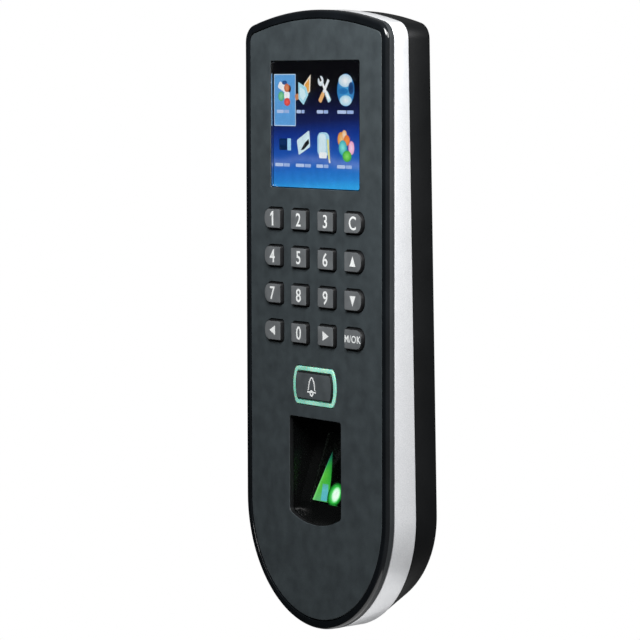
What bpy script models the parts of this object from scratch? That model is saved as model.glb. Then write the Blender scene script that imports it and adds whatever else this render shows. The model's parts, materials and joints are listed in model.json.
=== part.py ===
"""Wall-mounted fingerprint scanner terminal, built as an assembly of separate pieces.

The wall is the plane Y = 0 and the terminal faces -Y, with +Z up. The origin is the middle of the
steel wall bracket's back face. The front leans back a little: the silver band is a wedge, deeper
at the bottom. Two empties carry every piece: wall_frame counts depth out from the wall along its
own Z, and face_frame lies in the leaning front face with its own Z pointing out of the face.
"""

import math

import bmesh
import bpy
from mathutils import Matrix, Vector

# Overall sizes, in metres
HEIGHT = 0.2050
WIDTH = 0.0815
REAR_DEPTH = 0.0092
BAND_DEPTH_TOP = 0.0059
BAND_DEPTH_BOTTOM = 0.0099
FRAME_DEPTH = 0.0030
GAP = 0.0003

# Outline of the terminal: a shallow arch on top, a half circle below
TOP_ARCH_RADIUS = 0.1500
TOP_CORNER_RADIUS = 0.0060
MIN_CORNER_RADIUS = 0.0006

# Glossy front frame
FRAME_RIM = 0.0027
FRAME_ROUNDING = 0.0011
FRAME_LEDGE_REACH = 0.0045
FRAME_LEDGE_THICKNESS = 0.0008

# Matt face plate inside the frame
PLATE_RECESS = 0.00025
PLATE_THICKNESS = 0.00165
PLATE_EDGE = 0.0003

# Silver band and rear housing
BAND_INSET = 0.0001
BAND_WALL = 0.0025
BAND_EDGE = 0.0004
HOUSING_INSET = 0.0004
HOUSING_WALL = 0.0026
HOUSING_BACK_INSET = 0.0006
HOUSING_BACK_ROUNDING = 0.0014
HOUSING_BOTTOM_RISE = 0.0060
WEB_BACK = 0.0022
WEB_THICKNESS = 0.0020

# Free height of the face, shared between the five spaces around the fitted items
SPACE_ABOVE_DISPLAY = 16.5
SPACE_DISPLAY_TO_KEYS = 6.5
SPACE_KEYS_TO_BELL = 7.2
SPACE_BELL_TO_SENSOR = 4.4
SPACE_BELOW_SENSOR = 34.4

# Display
WINDOW_WIDTH = 0.0513
WINDOW_HEIGHT = 0.0423
WINDOW_CORNER = 0.0008
WINDOW_RECESS = 0.0002
WINDOW_THICKNESS = 0.0012
LCD_SIDE_BORDER = 0.0024
LCD_BORDER_SHARE = 0.08
LCD_THICKNESS = 0.0026
CRADLE_WALL = 0.0009
CRADLE_FLOOR = 0.0008

# Keypad of four columns and four rows
COLUMN_PITCH = 0.01545
ROW_PITCH = 0.01255
KEY_HEIGHT = 0.0070
KEY_WIDTH_INNER = 0.0095
KEY_WIDTH_OUTER = 0.0100
KEY_CORNER = 0.0009
KEY_ROUND_END = 0.0031
KEY_PROUD = 0.0011
KEY_DRAFT = 0.00015
KEY_EDGE = 0.0004
KEY_TRAVEL = 0.0009
RETAINER_REACH = 0.0006
RETAINER_THICKNESS = 0.0005
MAT_THICKNESS = 0.0010
MAT_BORDER = 0.0021
KEYPAD_BOARD_THICKNESS = 0.0012

# Doorbell key and the light ring round it
RING_WIDTH = 0.0246
RING_HEIGHT = 0.0126
RING_END_RADIUS = 0.0125
RING_CORNER = 0.0020
RING_WALL = 0.0014
RING_PROUD = 0.0002
BELL_PROUD = 0.0006
BELL_TRAVEL = 0.0007

# Fingerprint well, its glass and what reads it
WELL_WIDTH = 0.0298
WELL_HEIGHT = 0.0356
WELL_ARCH_RADIUS = 0.0335
WELL_CORNER = 0.0020
WELL_TOP_CORNER = 0.0010
WELL_WALL = 0.0012
WELL_CLEARANCE = 0.0007
WELL_SHALLOW = 0.0046
SCOOP_LENGTH = 0.0066
PRISM_WIDTH = 0.0190
PRISM_LENGTH = 0.0225
PRISM_THICKNESS = 0.0024
PRISM_BELOW_SCOOP = 0.0004
SENSOR_BOARD_THICKNESS = 0.0010
CAMERA_DIAMETER = 0.0060
CAMERA_HEIGHT = 0.0016
CAMERA_UP = 0.0095

# Steel wall bracket
BRACKET_THICKNESS = 0.0015
BRACKET_SIDE_MARGIN = 0.0135
BRACKET_TOP_MARGIN = 0.0220
BRACKET_BOTTOM_MARGIN = 0.0300
BRACKET_CORNER = 0.0040
POCKET_CLEARANCE = 0.0008
TONGUE_WIDTH = 0.0160
TONGUE_END_MARGIN = 0.0063
HOOK_WIDTH = 0.0080
HOOK_LIFT = 0.0030
HOOK_FROM_TOP = 0.0160
HOOK_FROM_SIDE = 0.0080
WALL_SCREW_HOLE = 0.0050
WALL_SCREW_FROM_SIDE = 0.0085
WALL_SCREW_FROM_END = 0.0070
CABLE_OPENING_WIDTH = 0.0340
CABLE_OPENING_HEIGHT = 0.0200
CABLE_OPENING_BASE = 0.0170

# Boards, connectors and small parts
BOARD_THICKNESS = 0.0016
BOARD_STANDOFF = 0.0020
BOARD_SIDE_MARGIN = 0.0102
BOARD_TOP_MARGIN = 0.0150
BOARD_ABOVE_WELL = 0.0030
STANDOFF_DIAMETER = 0.0052
HEADER_HEIGHT = 0.0058
HEADER_WALL = 0.0008
HEADER_BACK = 0.0024
CELL_DIAMETER = 0.0125
CELL_THICKNESS = 0.0020
HOLDER_FLOOR = 0.0005
HOLDER_WALL = 0.0009
HOLDER_HEIGHT = 0.0018
COIL_WIDTH = 0.0500
COIL_HEIGHT = 0.0360
COIL_BAND = 0.0040
COIL_THICKNESS = 0.0010
SPEAKER_WIDTH = 0.0110
SPEAKER_HEIGHT = 0.0150
SPEAKER_THICKNESS = 0.0036
SPEAKER_FROM_WELL = 0.0010
SPEAKER_SLOTS = 5
SPEAKER_SLOT_PITCH = 0.0026
SPEAKER_SLOT_HEIGHT = 0.0012
SPEAKER_SLOT_LENGTH = 0.0026
PROCESSOR_SIZE = 0.0240
PROCESSOR_THICKNESS = 0.0022
RIBBON_THICKNESS = 0.0004
RIBBON_WIDTH = 0.0050
RIBBON_FROM_WELL = 0.0030

# Screws
CASE_SCREW_FROM_SIDE = 0.0061
CASE_SCREW_FROM_TOP = 0.0105
CASE_BOSS_DIAMETER = 0.0056
CASE_SCREW_SHANK = 0.0025
CASE_SCREW_HEAD = 0.0050
CASE_SCREW_HEAD_HEIGHT = 0.0014
CASE_SCREW_LENGTH = 0.0090
CASE_HEAD_POCKET = 0.0064
BOARD_SCREW_SHANK = 0.0020
BOARD_SCREW_HEAD = 0.0040
BOARD_SCREW_HEAD_HEIGHT = 0.0013
BOARD_SCREW_LENGTH = 0.0034
BOARD_SCREW_FROM_SIDE = 0.0035
BOARD_SCREW_FROM_END = 0.0040
LOCK_SCREW_SHANK = 0.0030
LOCK_SCREW_HEAD = 0.0054
LOCK_SCREW_HEAD_HEIGHT = 0.0018
LOCK_SCREW_LENGTH = 0.0090
LOCK_SCREW_DEPTH = 0.0047

# Tamper switch on the back of the main board
TAMPER_X = -0.0185
TAMPER_BELOW_OPENING = 0.0260
TAMPER_BODY_WIDTH = 0.0064
TAMPER_PLUNGER = 0.0024
TAMPER_TRAVEL = 0.0005

# Worked out from the sizes above
HALF_WIDTH = WIDTH / 2
HALF_HEIGHT = HEIGHT / 2
LEAN = math.atan((BAND_DEPTH_BOTTOM - BAND_DEPTH_TOP) / HEIGHT)
FACE_DEPTH = REAR_DEPTH + (BAND_DEPTH_TOP + BAND_DEPTH_BOTTOM) / 2 + FRAME_DEPTH
WALL_FRAME = Matrix.Rotation(math.pi / 2, 4, "X")
FACE_FRAME = Matrix.Translation((0, -FACE_DEPTH, 0)) @ Matrix.Rotation(math.pi / 2 - LEAN, 4, "X")

WEB_FRONT = WEB_BACK + WEB_THICKNESS
PLATE_FRONT = -PLATE_RECESS
PLATE_BACK = PLATE_FRONT - PLATE_THICKNESS
LEDGE_FRONT = PLATE_BACK - GAP
FRAME_BACK = -FRAME_DEPTH

ROWS = 4
COLUMNS = 4
KEY_HOLE_HEIGHT = KEY_HEIGHT + 2 * GAP
KEYPAD_HEIGHT = (ROWS - 1) * ROW_PITCH + KEY_HOLE_HEIGHT
SPACES = (SPACE_ABOVE_DISPLAY, SPACE_DISPLAY_TO_KEYS, SPACE_KEYS_TO_BELL,
          SPACE_BELL_TO_SENSOR, SPACE_BELOW_SENSOR)
FREE_HEIGHT = HEIGHT - WINDOW_HEIGHT - KEYPAD_HEIGHT - RING_HEIGHT - WELL_HEIGHT
SPACE_UNIT = FREE_HEIGHT / sum(SPACES)
WINDOW_TOP = HALF_HEIGHT - SPACE_ABOVE_DISPLAY * SPACE_UNIT
WINDOW_CENTRE = WINDOW_TOP - WINDOW_HEIGHT / 2
KEYPAD_TOP = WINDOW_TOP - WINDOW_HEIGHT - SPACE_DISPLAY_TO_KEYS * SPACE_UNIT
TOP_ROW = KEYPAD_TOP - KEY_HOLE_HEIGHT / 2
RING_CENTRE = KEYPAD_TOP - KEYPAD_HEIGHT - SPACE_KEYS_TO_BELL * SPACE_UNIT - RING_HEIGHT / 2
WELL_TOP = RING_CENTRE - RING_HEIGHT / 2 - SPACE_BELL_TO_SENSOR * SPACE_UNIT
WELL_BOTTOM = WELL_TOP - WELL_HEIGHT
BOWL_CENTRE = -HALF_HEIGHT + HALF_WIDTH

WINDOW_BACK = PLATE_FRONT - WINDOW_RECESS - WINDOW_THICKNESS
LCD_FRONT = PLATE_BACK - GAP / 2
LCD_BACK = LCD_FRONT - LCD_THICKNESS
LCD_TOP = WINDOW_TOP + LCD_BORDER_SHARE * SPACE_ABOVE_DISPLAY * SPACE_UNIT
LCD_BOTTOM = WINDOW_TOP - WINDOW_HEIGHT - 2 * LCD_BORDER_SHARE * SPACE_DISPLAY_TO_KEYS * SPACE_UNIT
LCD_HALF_WIDTH = WINDOW_WIDTH / 2 + LCD_SIDE_BORDER

RETAINER_TOP = PLATE_BACK - GAP
RETAINER_BOTTOM = RETAINER_TOP - RETAINER_THICKNESS
MAT_FRONT = RETAINER_BOTTOM - max(KEY_TRAVEL, BELL_TRAVEL) - GAP
MAT_BACK = MAT_FRONT - MAT_THICKNESS
KEYPAD_BOARD_FRONT = MAT_BACK - GAP
KEYPAD_BOARD_BACK = KEYPAD_BOARD_FRONT - KEYPAD_BOARD_THICKNESS
KEYPAD_HALF_WIDTH = (COLUMNS - 1) / 2 * COLUMN_PITCH + KEY_WIDTH_OUTER / 2 + MAT_BORDER / 2
KEYPAD_PAD_TOP = KEYPAD_TOP + 0.2 * SPACE_DISPLAY_TO_KEYS * SPACE_UNIT
KEYPAD_PAD_BOTTOM = RING_CENTRE - RING_HEIGHT / 2 - 0.15 * SPACE_BELL_TO_SENSOR * SPACE_UNIT

SCOOP_START = WELL_BOTTOM + SCOOP_LENGTH
WELL_RUN = WELL_TOP - SCOOP_START
WELL_ROOM = FACE_DEPTH - WEB_FRONT - WELL_CLEARANCE
WELL_BLOCK_BACK = ((WELL_TOP + WELL_WALL) * math.sin(LEAN) - WELL_ROOM) / math.cos(LEAN)
WELL_DEEP = -WELL_BLOCK_BACK - WELL_WALL
WELL_FALL = (WELL_DEEP - WELL_SHALLOW) / WELL_RUN
PRISM_LOW = SCOOP_START + PRISM_BELOW_SCOOP
SENSOR_BOARD_BACK = WELL_BLOCK_BACK + GAP
SENSOR_BOARD_FRONT = SENSOR_BOARD_BACK + SENSOR_BOARD_THICKNESS

BOARD_BACK = WEB_FRONT + BOARD_STANDOFF + GAP
BOARD_FRONT = BOARD_BACK + BOARD_THICKNESS
BOARD_HALF_WIDTH = HALF_WIDTH - BOARD_SIDE_MARGIN
BOARD_TOP = HALF_HEIGHT - BOARD_TOP_MARGIN
BOARD_BOTTOM = WELL_TOP + WELL_WALL + BOARD_ABOVE_WELL
BOARD_SCREW_PLACES = [(side * (BOARD_HALF_WIDTH - BOARD_SCREW_FROM_SIDE), v)
                      for side in (-1, 1)
                      for v in (BOARD_TOP - BOARD_SCREW_FROM_END, BOARD_BOTTOM + BOARD_SCREW_FROM_END)]
CASE_SCREW_PLACES = [(side * (HALF_WIDTH - CASE_SCREW_FROM_SIDE), v)
                     for side in (-1, 1)
                     for v in (HALF_HEIGHT - CASE_SCREW_FROM_TOP, BOWL_CENTRE + 0.0010)]

BRACKET_HALF_WIDTH = HALF_WIDTH - BRACKET_SIDE_MARGIN
BRACKET_TOP = HALF_HEIGHT - BRACKET_TOP_MARGIN
BRACKET_BOTTOM = -HALF_HEIGHT + BRACKET_BOTTOM_MARGIN
TONGUE_END = -HALF_HEIGHT + HOUSING_BOTTOM_RISE + TONGUE_END_MARGIN
HOOK_PLACES = [side * (BRACKET_HALF_WIDTH - HOOK_FROM_SIDE) for side in (-1, 1)]
HOOK_BASE = BRACKET_TOP - HOOK_FROM_TOP
TAMPER_PLACE = (TAMPER_X, CABLE_OPENING_BASE - TAMPER_BELOW_OPENING)
SPEAKER_PLACE = (-(WELL_WIDTH / 2 + WELL_WALL + SPEAKER_FROM_WELL + SPEAKER_WIDTH / 2),
                 (WELL_TOP + WELL_BOTTOM) / 2)


def clear_scene():
    """Removes whatever the scene holds."""
    for old in list(bpy.data.objects):
        bpy.data.objects.remove(old, do_unlink=True)


def material(name, colour, roughness, metallic=0.0):
    """A Principled material with one linear colour."""
    made = bpy.data.materials.new(name)
    made.use_nodes = True
    shader = made.node_tree.nodes["Principled BSDF"]
    shader.inputs["Base Color"].default_value = (*colour, 1.0)
    shader.inputs["Roughness"].default_value = roughness
    shader.inputs["Metallic"].default_value = metallic
    return made


def frame(name, matrix):
    """An empty that pieces are placed in."""
    empty = bpy.data.objects.new(name, None)
    empty.matrix_world = matrix
    bpy.context.scene.collection.objects.link(empty)
    return empty


# Outlines: lists of (x, y) points, anticlockwise


def arc(centre, radius, start, end, steps, stretch=1.0):
    """Points of an arc between two angles in degrees; stretch scales its height."""
    points = []
    for step in range(steps + 1):
        angle = math.radians(start + (end - start) * step / steps)
        points.append((centre[0] + radius * math.cos(angle),
                       centre[1] + radius * stretch * math.sin(angle)))
    return points


def arched_end(half_width, peak, radius, corner, steps, corner_steps):
    """The upper end of a shape, right to left: corner, shallow arch, corner."""
    arch_base = peak - radius
    rise = math.sqrt((radius - corner) ** 2 - (half_width - corner) ** 2)
    corner_height = arch_base + rise
    turn = math.degrees(math.atan2(rise, half_width - corner))
    right = arc((half_width - corner, corner_height), corner, 0, turn, corner_steps)
    top = arc((0, arch_base), radius, turn, 180 - turn, steps)
    left = arc((corner - half_width, corner_height), corner, 180 - turn, 180, corner_steps)
    return right[:-1] + top + left[1:]


def terminal_outline(inset, bottom_rise=0.0):
    """The terminal's outline, drawn in by inset; bottom_rise lifts its lowest point further."""
    half = HALF_WIDTH - inset
    corner = max(TOP_CORNER_RADIUS - inset, MIN_CORNER_RADIUS)
    top = arched_end(half, HALF_HEIGHT - inset, TOP_ARCH_RADIUS - inset, corner, 12, 5)
    bowl = arc((0, BOWL_CENTRE), half, 180, 360, 32, 1 - bottom_rise / half)
    return top + bowl


def rounded_outline(width, height, radii, centre=(0, 0), steps=3):
    """A rectangle with a corner radius each for upper right, upper left, lower left, lower right."""
    signs = ((1, 1), (-1, 1), (-1, -1), (1, -1))
    points = []
    for index, ((right, up), radius) in enumerate(zip(signs, radii)):
        middle = (centre[0] + right * (width / 2 - radius), centre[1] + up * (height / 2 - radius))
        points += arc(middle, radius, 90 * index, 90 * index + 90, steps)
    return points


def rectangle(left, right, bottom, top, corner=0.0):
    """A rectangle given by its sides."""
    middle = ((left + right) / 2, (bottom + top) / 2)
    if corner:
        return rounded_outline(right - left, top - bottom, (corner,) * 4, middle)
    return [(right, top), (left, top), (left, bottom), (right, bottom)]


def circle(diameter, centre=(0, 0), steps=16):
    """A circle as a regular outline."""
    return arc(centre, diameter / 2, 0, 360 - 360 / steps, steps - 1)


def ring_outline(inset):
    """The doorbell ring: straight long sides and bowed ends."""
    half_width = RING_WIDTH / 2 - inset
    half_height = RING_HEIGHT / 2 - inset
    corner = max(RING_CORNER - inset, MIN_CORNER_RADIUS)
    bow = RING_END_RADIUS - inset
    bow_centre = half_width - bow
    reach = math.sqrt((bow - corner) ** 2 - (half_height - corner) ** 2)
    turn = math.degrees(math.atan2(half_height - corner, reach))
    corner_centre = (bow_centre + reach, half_height - corner)
    end = arc((bow_centre, 0), bow, 0, turn, 4)[:-1] + arc(corner_centre, corner, turn, 90, 3)
    upper = end + [(-x, y) for x, y in reversed(end)]
    lower = [(x, -y) for x, y in reversed(upper[1:-1])]
    return [(x, y + RING_CENTRE) for x, y in upper + lower]


def well_outline(inset):
    """The opening of the fingerprint well: square above, a shallow bowl below."""
    half_width = WELL_WIDTH / 2 - inset
    corner = max(WELL_CORNER - inset, MIN_CORNER_RADIUS)
    top_corner = max(WELL_TOP_CORNER - inset, MIN_CORNER_RADIUS)
    bowl = arched_end(half_width, -WELL_BOTTOM - inset, WELL_ARCH_RADIUS - inset, corner, 8, 3)
    bowl = [(-x, -y) for x, y in bowl]
    top = WELL_TOP - inset - top_corner
    right = arc((half_width - top_corner, top), top_corner, 0, 90, 2)
    left = arc((top_corner - half_width, top), top_corner, 90, 180, 2)
    return right + left + bowl


def key_outline(column, inset):
    """A key's outline about its own middle: the outer columns have one rounded end."""
    outer = column in (0, COLUMNS - 1)
    width = (KEY_WIDTH_OUTER if outer else KEY_WIDTH_INNER) - 2 * inset
    height = KEY_HEIGHT - 2 * inset
    small = max(KEY_CORNER - inset, MIN_CORNER_RADIUS / 2)
    large = KEY_ROUND_END - inset
    right_end = large if column == COLUMNS - 1 else small
    left_end = large if column == 0 else small
    return rounded_outline(width, height, (right_end, left_end, left_end, right_end))


# Solids: stacks of rings, closed by caps or closed on themselves


def at(outline, height):
    """An outline lifted to a height."""
    return [Vector((x, y, height)) for x, y in outline]


def skinned(rings, looped=False):
    """Vertices and faces of a skin over rings of equally many points."""
    count = len(rings[0])
    vertices = [point for ring in rings for point in ring]
    faces = []
    spans = len(rings) if looped else len(rings) - 1
    for span in range(spans):
        low = span * count
        high = (span + 1) % len(rings) * count
        for step in range(count):
            after = (step + 1) % count
            faces.append((low + step, low + after, high + after, high + step))
    if not looped:
        faces.append(tuple(reversed(range(count))))
        faces.append(tuple(range((len(rings) - 1) * count, len(rings) * count)))
    return vertices, faces


def slab(outline, low, high):
    """Skin data of an outline extruded between two heights."""
    return skinned([at(outline, low), at(outline, high)])


def joined(parts):
    """Skin data of several closed shapes in one mesh."""
    vertices = []
    faces = []
    for part_vertices, part_faces in parts:
        start = len(vertices)
        vertices += part_vertices
        faces += [tuple(start + index for index in face) for face in part_faces]
    return vertices, faces


def moved(skin, matrix):
    """Skin data carried by a matrix."""
    vertices, faces = skin
    return [matrix @ point for point in vertices], faces


def extruded_along_x(section, left, right):
    """Skin data of a (y, z) section, given anticlockwise seen from +X, between two x values."""
    rings = [[Vector((x, y, z)) for y, z in section] for x in (left, right)]
    return skinned(rings)


def piece(name, skin, finish, parent=None, place=(0, 0, 0), smooth=30):
    """A named object from skin data, its faces turned outwards."""
    mesh = bpy.data.meshes.new(name)
    mesh.from_pydata(skin[0], [], skin[1])
    shape = bmesh.new()
    shape.from_mesh(mesh)
    bmesh.ops.remove_doubles(shape, verts=shape.verts, dist=0.000001)
    bmesh.ops.recalc_face_normals(shape, faces=shape.faces)
    shape.to_mesh(mesh)
    shape.free()
    mesh.shade_smooth()
    mesh.set_sharp_from_angle(angle=math.radians(smooth))
    if finish:
        mesh.materials.append(finish)
    made = bpy.data.objects.new(name, mesh)
    made.location = place
    made.parent = parent
    bpy.context.scene.collection.objects.link(made)
    return made


def change(target, operation, skin, parent, label):
    """Adds a Boolean to target, with its helper shape hidden."""
    helper = piece(f"{target.name}_{label}", skin, None, parent)
    helper.hide_render = True
    helper.display_type = "WIRE"
    boolean = target.modifiers.new(label, "BOOLEAN")
    boolean.operation = operation
    boolean.solver = "EXACT"
    boolean.object = helper


clear_scene()
wall = frame("wall_frame", WALL_FRAME)
face = frame("face_frame", FACE_FRAME)
bpy.context.view_layer.update()
FACE_TO_WALL = WALL_FRAME.inverted() @ FACE_FRAME

GLOSS_BLACK = material("gloss_black_abs", (0.008, 0.009, 0.010), 0.12)
MATT_BLACK = material("matt_black_abs", (0.045, 0.049, 0.053), 0.55)
REAR_BLACK = material("satin_black_abs", (0.014, 0.015, 0.017), 0.40)
SILVER = material("silver_paint", (0.78, 0.79, 0.80), 0.30, 0.6)
KEY_GREY = material("key_grey", (0.10, 0.105, 0.11), 0.45)
LIGHT_GUIDE = material("mint_light_guide", (0.27, 0.62, 0.47), 0.35)
CLEAR_BLACK = material("smoked_acrylic", (0.01, 0.01, 0.012), 0.06)
LCD_DARK = material("lcd_module", (0.02, 0.03, 0.06), 0.30)
SILICONE = material("silicone_rubber", (0.20, 0.20, 0.21), 0.75)
GLASS = material("optical_glass", (0.02, 0.20, 0.08), 0.03)
BOARD_GREEN = material("circuit_board", (0.01, 0.12, 0.05), 0.45)
NYLON = material("white_nylon", (0.75, 0.73, 0.66), 0.50)
STEEL = material("zinc_plated_steel", (0.55, 0.56, 0.58), 0.35, 1.0)
COPPER = material("copper_winding", (0.72, 0.33, 0.16), 0.35, 1.0)
CHIP = material("chip_black", (0.02, 0.02, 0.022), 0.50)
FLEX = material("polyimide_flex", (0.55, 0.25, 0.05), 0.45)


def front_frame():
    """The glossy rim round the face, with the ledge that the plate lies on and four long bosses."""
    rings = [at(terminal_outline(0), FRAME_BACK), at(terminal_outline(0), -FRAME_ROUNDING)]
    for angle in (30, 60, 90):
        turn = math.radians(angle)
        inset = FRAME_ROUNDING * (1 - math.cos(turn))
        rings.append(at(terminal_outline(inset), -FRAME_ROUNDING * (1 - math.sin(turn))))
    rings.append(at(terminal_outline(FRAME_RIM), 0))
    rings.append(at(terminal_outline(FRAME_RIM), LEDGE_FRONT))
    rings.append(at(terminal_outline(FRAME_LEDGE_REACH), LEDGE_FRONT))
    rings.append(at(terminal_outline(FRAME_LEDGE_REACH), FRAME_BACK))
    made = piece("front_frame", skinned(rings, looped=True), GLOSS_BLACK, face)
    bosses = []
    cores = []
    for x, v in CASE_SCREW_PLACES:
        boss_top = (FACE_TO_WALL @ Vector((x, v, LEDGE_FRONT - FRAME_LEDGE_THICKNESS / 4))).z
        bosses.append(slab(circle(CASE_BOSS_DIAMETER, (x, v)), WEB_FRONT + GAP, boss_top))
        core = circle(CASE_SCREW_SHANK + 2 * GAP, (x, v), 12)
        cores.append(slab(core, 0, WEB_BACK + CASE_SCREW_LENGTH + GAP))
    change(made, "UNION", joined(bosses), wall, "bosses")
    change(made, "DIFFERENCE", joined(cores), wall, "screw_cores")


def face_plate():
    """The matt plate with its openings for the display, the keys, the bell and the well."""
    edge_inset = FRAME_RIM + GAP
    rings = [at(terminal_outline(edge_inset), PLATE_BACK),
             at(terminal_outline(edge_inset), PLATE_FRONT - PLATE_EDGE),
             at(terminal_outline(edge_inset + PLATE_EDGE), PLATE_FRONT)]
    made = piece("face_plate", skinned(rings), MATT_BLACK, face)
    low = PLATE_BACK - 0.001
    high = PLATE_FRONT + 0.001
    window = rectangle(-WINDOW_WIDTH / 2, WINDOW_WIDTH / 2, WINDOW_CENTRE - WINDOW_HEIGHT / 2,
                       WINDOW_TOP, WINDOW_CORNER)
    cuts = [slab(window, low, high), slab(ring_outline(-GAP), low, high),
            slab(well_outline(0), low, high)]
    for row in range(ROWS):
        for column in range(COLUMNS):
            x, v = key_place(row, column)
            hole = [(px + x, py + v) for px, py in key_outline(column, -GAP)]
            cuts.append(slab(hole, low, high))
    change(made, "DIFFERENCE", joined(cuts), face, "openings")


def key_place(row, column):
    """The middle of a key on the face."""
    return (column - (COLUMNS - 1) / 2) * COLUMN_PITCH, TOP_ROW - row * ROW_PITCH


def display_window():
    """The clear window, set a little below the plate."""
    front = PLATE_FRONT - WINDOW_RECESS
    outline = rectangle(-WINDOW_WIDTH / 2 + GAP, WINDOW_WIDTH / 2 - GAP,
                        WINDOW_TOP - WINDOW_HEIGHT + GAP, WINDOW_TOP - GAP, WINDOW_CORNER)
    piece("display_window", slab(outline, WINDOW_BACK, front), CLEAR_BLACK, face)


def lcd_module():
    """The display module behind the window."""
    outline = rectangle(-LCD_HALF_WIDTH, LCD_HALF_WIDTH, LCD_BOTTOM, LCD_TOP)
    piece("lcd_module", slab(outline, LCD_BACK, LCD_FRONT), LCD_DARK, face)


def display_cradle():
    """The tray that carries the display module, open in front and under its flex lead."""
    wall_out = CRADLE_WALL + GAP
    outer = rectangle(-LCD_HALF_WIDTH - wall_out, LCD_HALF_WIDTH + wall_out,
                      LCD_BOTTOM - GAP, LCD_TOP + wall_out)
    made = piece("display_cradle", slab(outer, LCD_BACK - GAP - CRADLE_FLOOR, FRAME_BACK - GAP),
                 MATT_BLACK, face)
    room = rectangle(-LCD_HALF_WIDTH - GAP, LCD_HALF_WIDTH + GAP, LCD_BOTTOM - 0.002, LCD_TOP + GAP)
    port = rectangle(-0.0120, 0.0120, WINDOW_CENTRE - 0.0100, WINDOW_CENTRE + 0.0100)
    cuts = [slab(room, LCD_BACK - GAP, LCD_FRONT + 0.001),
            slab(port, LCD_BACK - 0.005, LCD_BACK)]
    change(made, "DIFFERENCE", joined(cuts), face, "room")


def key_cap(name, outline, proud):
    """A key about its own origin: retainer below the plate, drafted sides and a soft top edge."""
    top = PLATE_FRONT + proud
    rings = [at(outline(-RETAINER_REACH), RETAINER_BOTTOM),
             at(outline(-RETAINER_REACH), RETAINER_TOP),
             at(outline(0), RETAINER_TOP),
             at(outline(0), PLATE_FRONT),
             at(outline(KEY_DRAFT), top - KEY_EDGE),
             at(outline(KEY_DRAFT + KEY_EDGE / 3), top - KEY_EDGE / 3),
             at(outline(KEY_DRAFT + KEY_EDGE), top)]
    return name, skinned(rings)


def keypad_keys():
    """Sixteen keys, each with its origin at its own middle on the face."""
    names = (("key_1", "key_2", "key_3", "key_clear"),
             ("key_4", "key_5", "key_6", "key_up"),
             ("key_7", "key_8", "key_9", "key_down"),
             ("key_left", "key_0", "key_right", "key_menu_ok"))
    for row in range(ROWS):
        for column in range(COLUMNS):
            x, v = key_place(row, column)
            name, skin = key_cap(names[row][column],
                                 lambda inset, end=column: key_outline(end, inset), KEY_PROUD)
            piece(name, skin, KEY_GREY, face, (x, v, 0), smooth=50)


def bell_key():
    """The doorbell key inside its light ring."""
    fit = RING_WALL + GAP

    def outline(inset):
        return [(x, y - RING_CENTRE) for x, y in ring_outline(fit + inset)]

    name, skin = key_cap("bell_key", outline, BELL_PROUD)
    piece(name, skin, KEY_GREY, face, (0, RING_CENTRE, 0), smooth=50)


def bell_light_ring():
    """The translucent ring round the doorbell key, ending above the key's retainer."""
    low = RETAINER_TOP + GAP
    rings = [at(ring_outline(0), low), at(ring_outline(0), PLATE_FRONT),
             at(ring_outline(RING_PROUD), PLATE_FRONT + RING_PROUD),
             at(ring_outline(RING_WALL), PLATE_FRONT + RING_PROUD), at(ring_outline(RING_WALL), low)]
    piece("bell_light_ring", skinned(rings, looped=True), LIGHT_GUIDE, face, smooth=50)


def keypad_mat_and_board():
    """The silicone mat that springs the keys, and the circuit board that it lies on."""
    mat = rectangle(-KEYPAD_HALF_WIDTH, KEYPAD_HALF_WIDTH, KEYPAD_PAD_BOTTOM, KEYPAD_PAD_TOP, 0.002)
    piece("keypad_mat", slab(mat, MAT_BACK, MAT_FRONT), SILICONE, face)
    piece("keypad_board", slab(mat, KEYPAD_BOARD_BACK, KEYPAD_BOARD_FRONT), BOARD_GREEN, face)


def floor_height(v, drop=0.0):
    """Height of the well's sloping floor at v, less a drop."""
    return -(WELL_SHALLOW + (v - SCOOP_START) * WELL_FALL) - drop


def well_section():
    """The (v, w) section of the hollow that a finger goes into."""
    lip = PLATE_BACK
    scoop = []
    for step in range(7):
        turn = math.radians(90 * step / 6)
        v = SCOOP_START - (SCOOP_LENGTH + GAP) * math.sin(turn)
        scoop.append((v, -WELL_SHALLOW + (WELL_SHALLOW + lip) * (1 - math.cos(turn))))
    end = scoop[-1][0]
    top = WELL_TOP + GAP
    return [(top, 0.001), (end, 0.001)] + scoop[::-1] + [(top, floor_height(top))]


def sensor_well():
    """The black well behind the face: finger hollow above, room for the optics below."""
    made = piece("sensor_well", slab(well_outline(-WELL_WALL), WELL_BLOCK_BACK, PLATE_BACK - GAP),
                 REAR_BLACK, face)
    hollow = piece("sensor_well_hollow", slab(well_outline(0), -0.030, 0.001), None, face)
    section = extruded_along_x(well_section(), -WELL_WIDTH, WELL_WIDTH)
    change(hollow, "INTERSECT", section, face, "slope")
    hollow.hide_render = True
    hollow.display_type = "WIRE"
    boolean = made.modifiers.new("hollow", "BOOLEAN")
    boolean.operation = "DIFFERENCE"
    boolean.solver = "EXACT"
    boolean.object = hollow
    half = WELL_WIDTH / 2 - WELL_WALL
    low = WELL_BLOCK_BACK - 0.001
    high_end = WELL_TOP - 2 * WELL_WALL
    room = [(SCOOP_START, low), (high_end, low), (high_end, floor_height(high_end, WELL_WALL)),
            (SCOOP_START, floor_height(SCOOP_START, WELL_WALL))]
    frame_half = PRISM_WIDTH / 2 + GAP
    window = rectangle(-frame_half, frame_half, PRISM_LOW - GAP, PRISM_LOW + PRISM_LENGTH + GAP)
    notch = rectangle(0, WELL_WIDTH, SCOOP_START + 0.004, SCOOP_START + 0.012)
    cuts = [extruded_along_x(room, -half, half), slab(window, low, 0)]
    change(made, "DIFFERENCE", cuts[0], face, "optics_room")
    change(made, "DIFFERENCE", cuts[1], face, "glass_window")
    change(made, "DIFFERENCE", slab(notch, low, SENSOR_BOARD_FRONT + GAP), face, "lead_notch")


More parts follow.
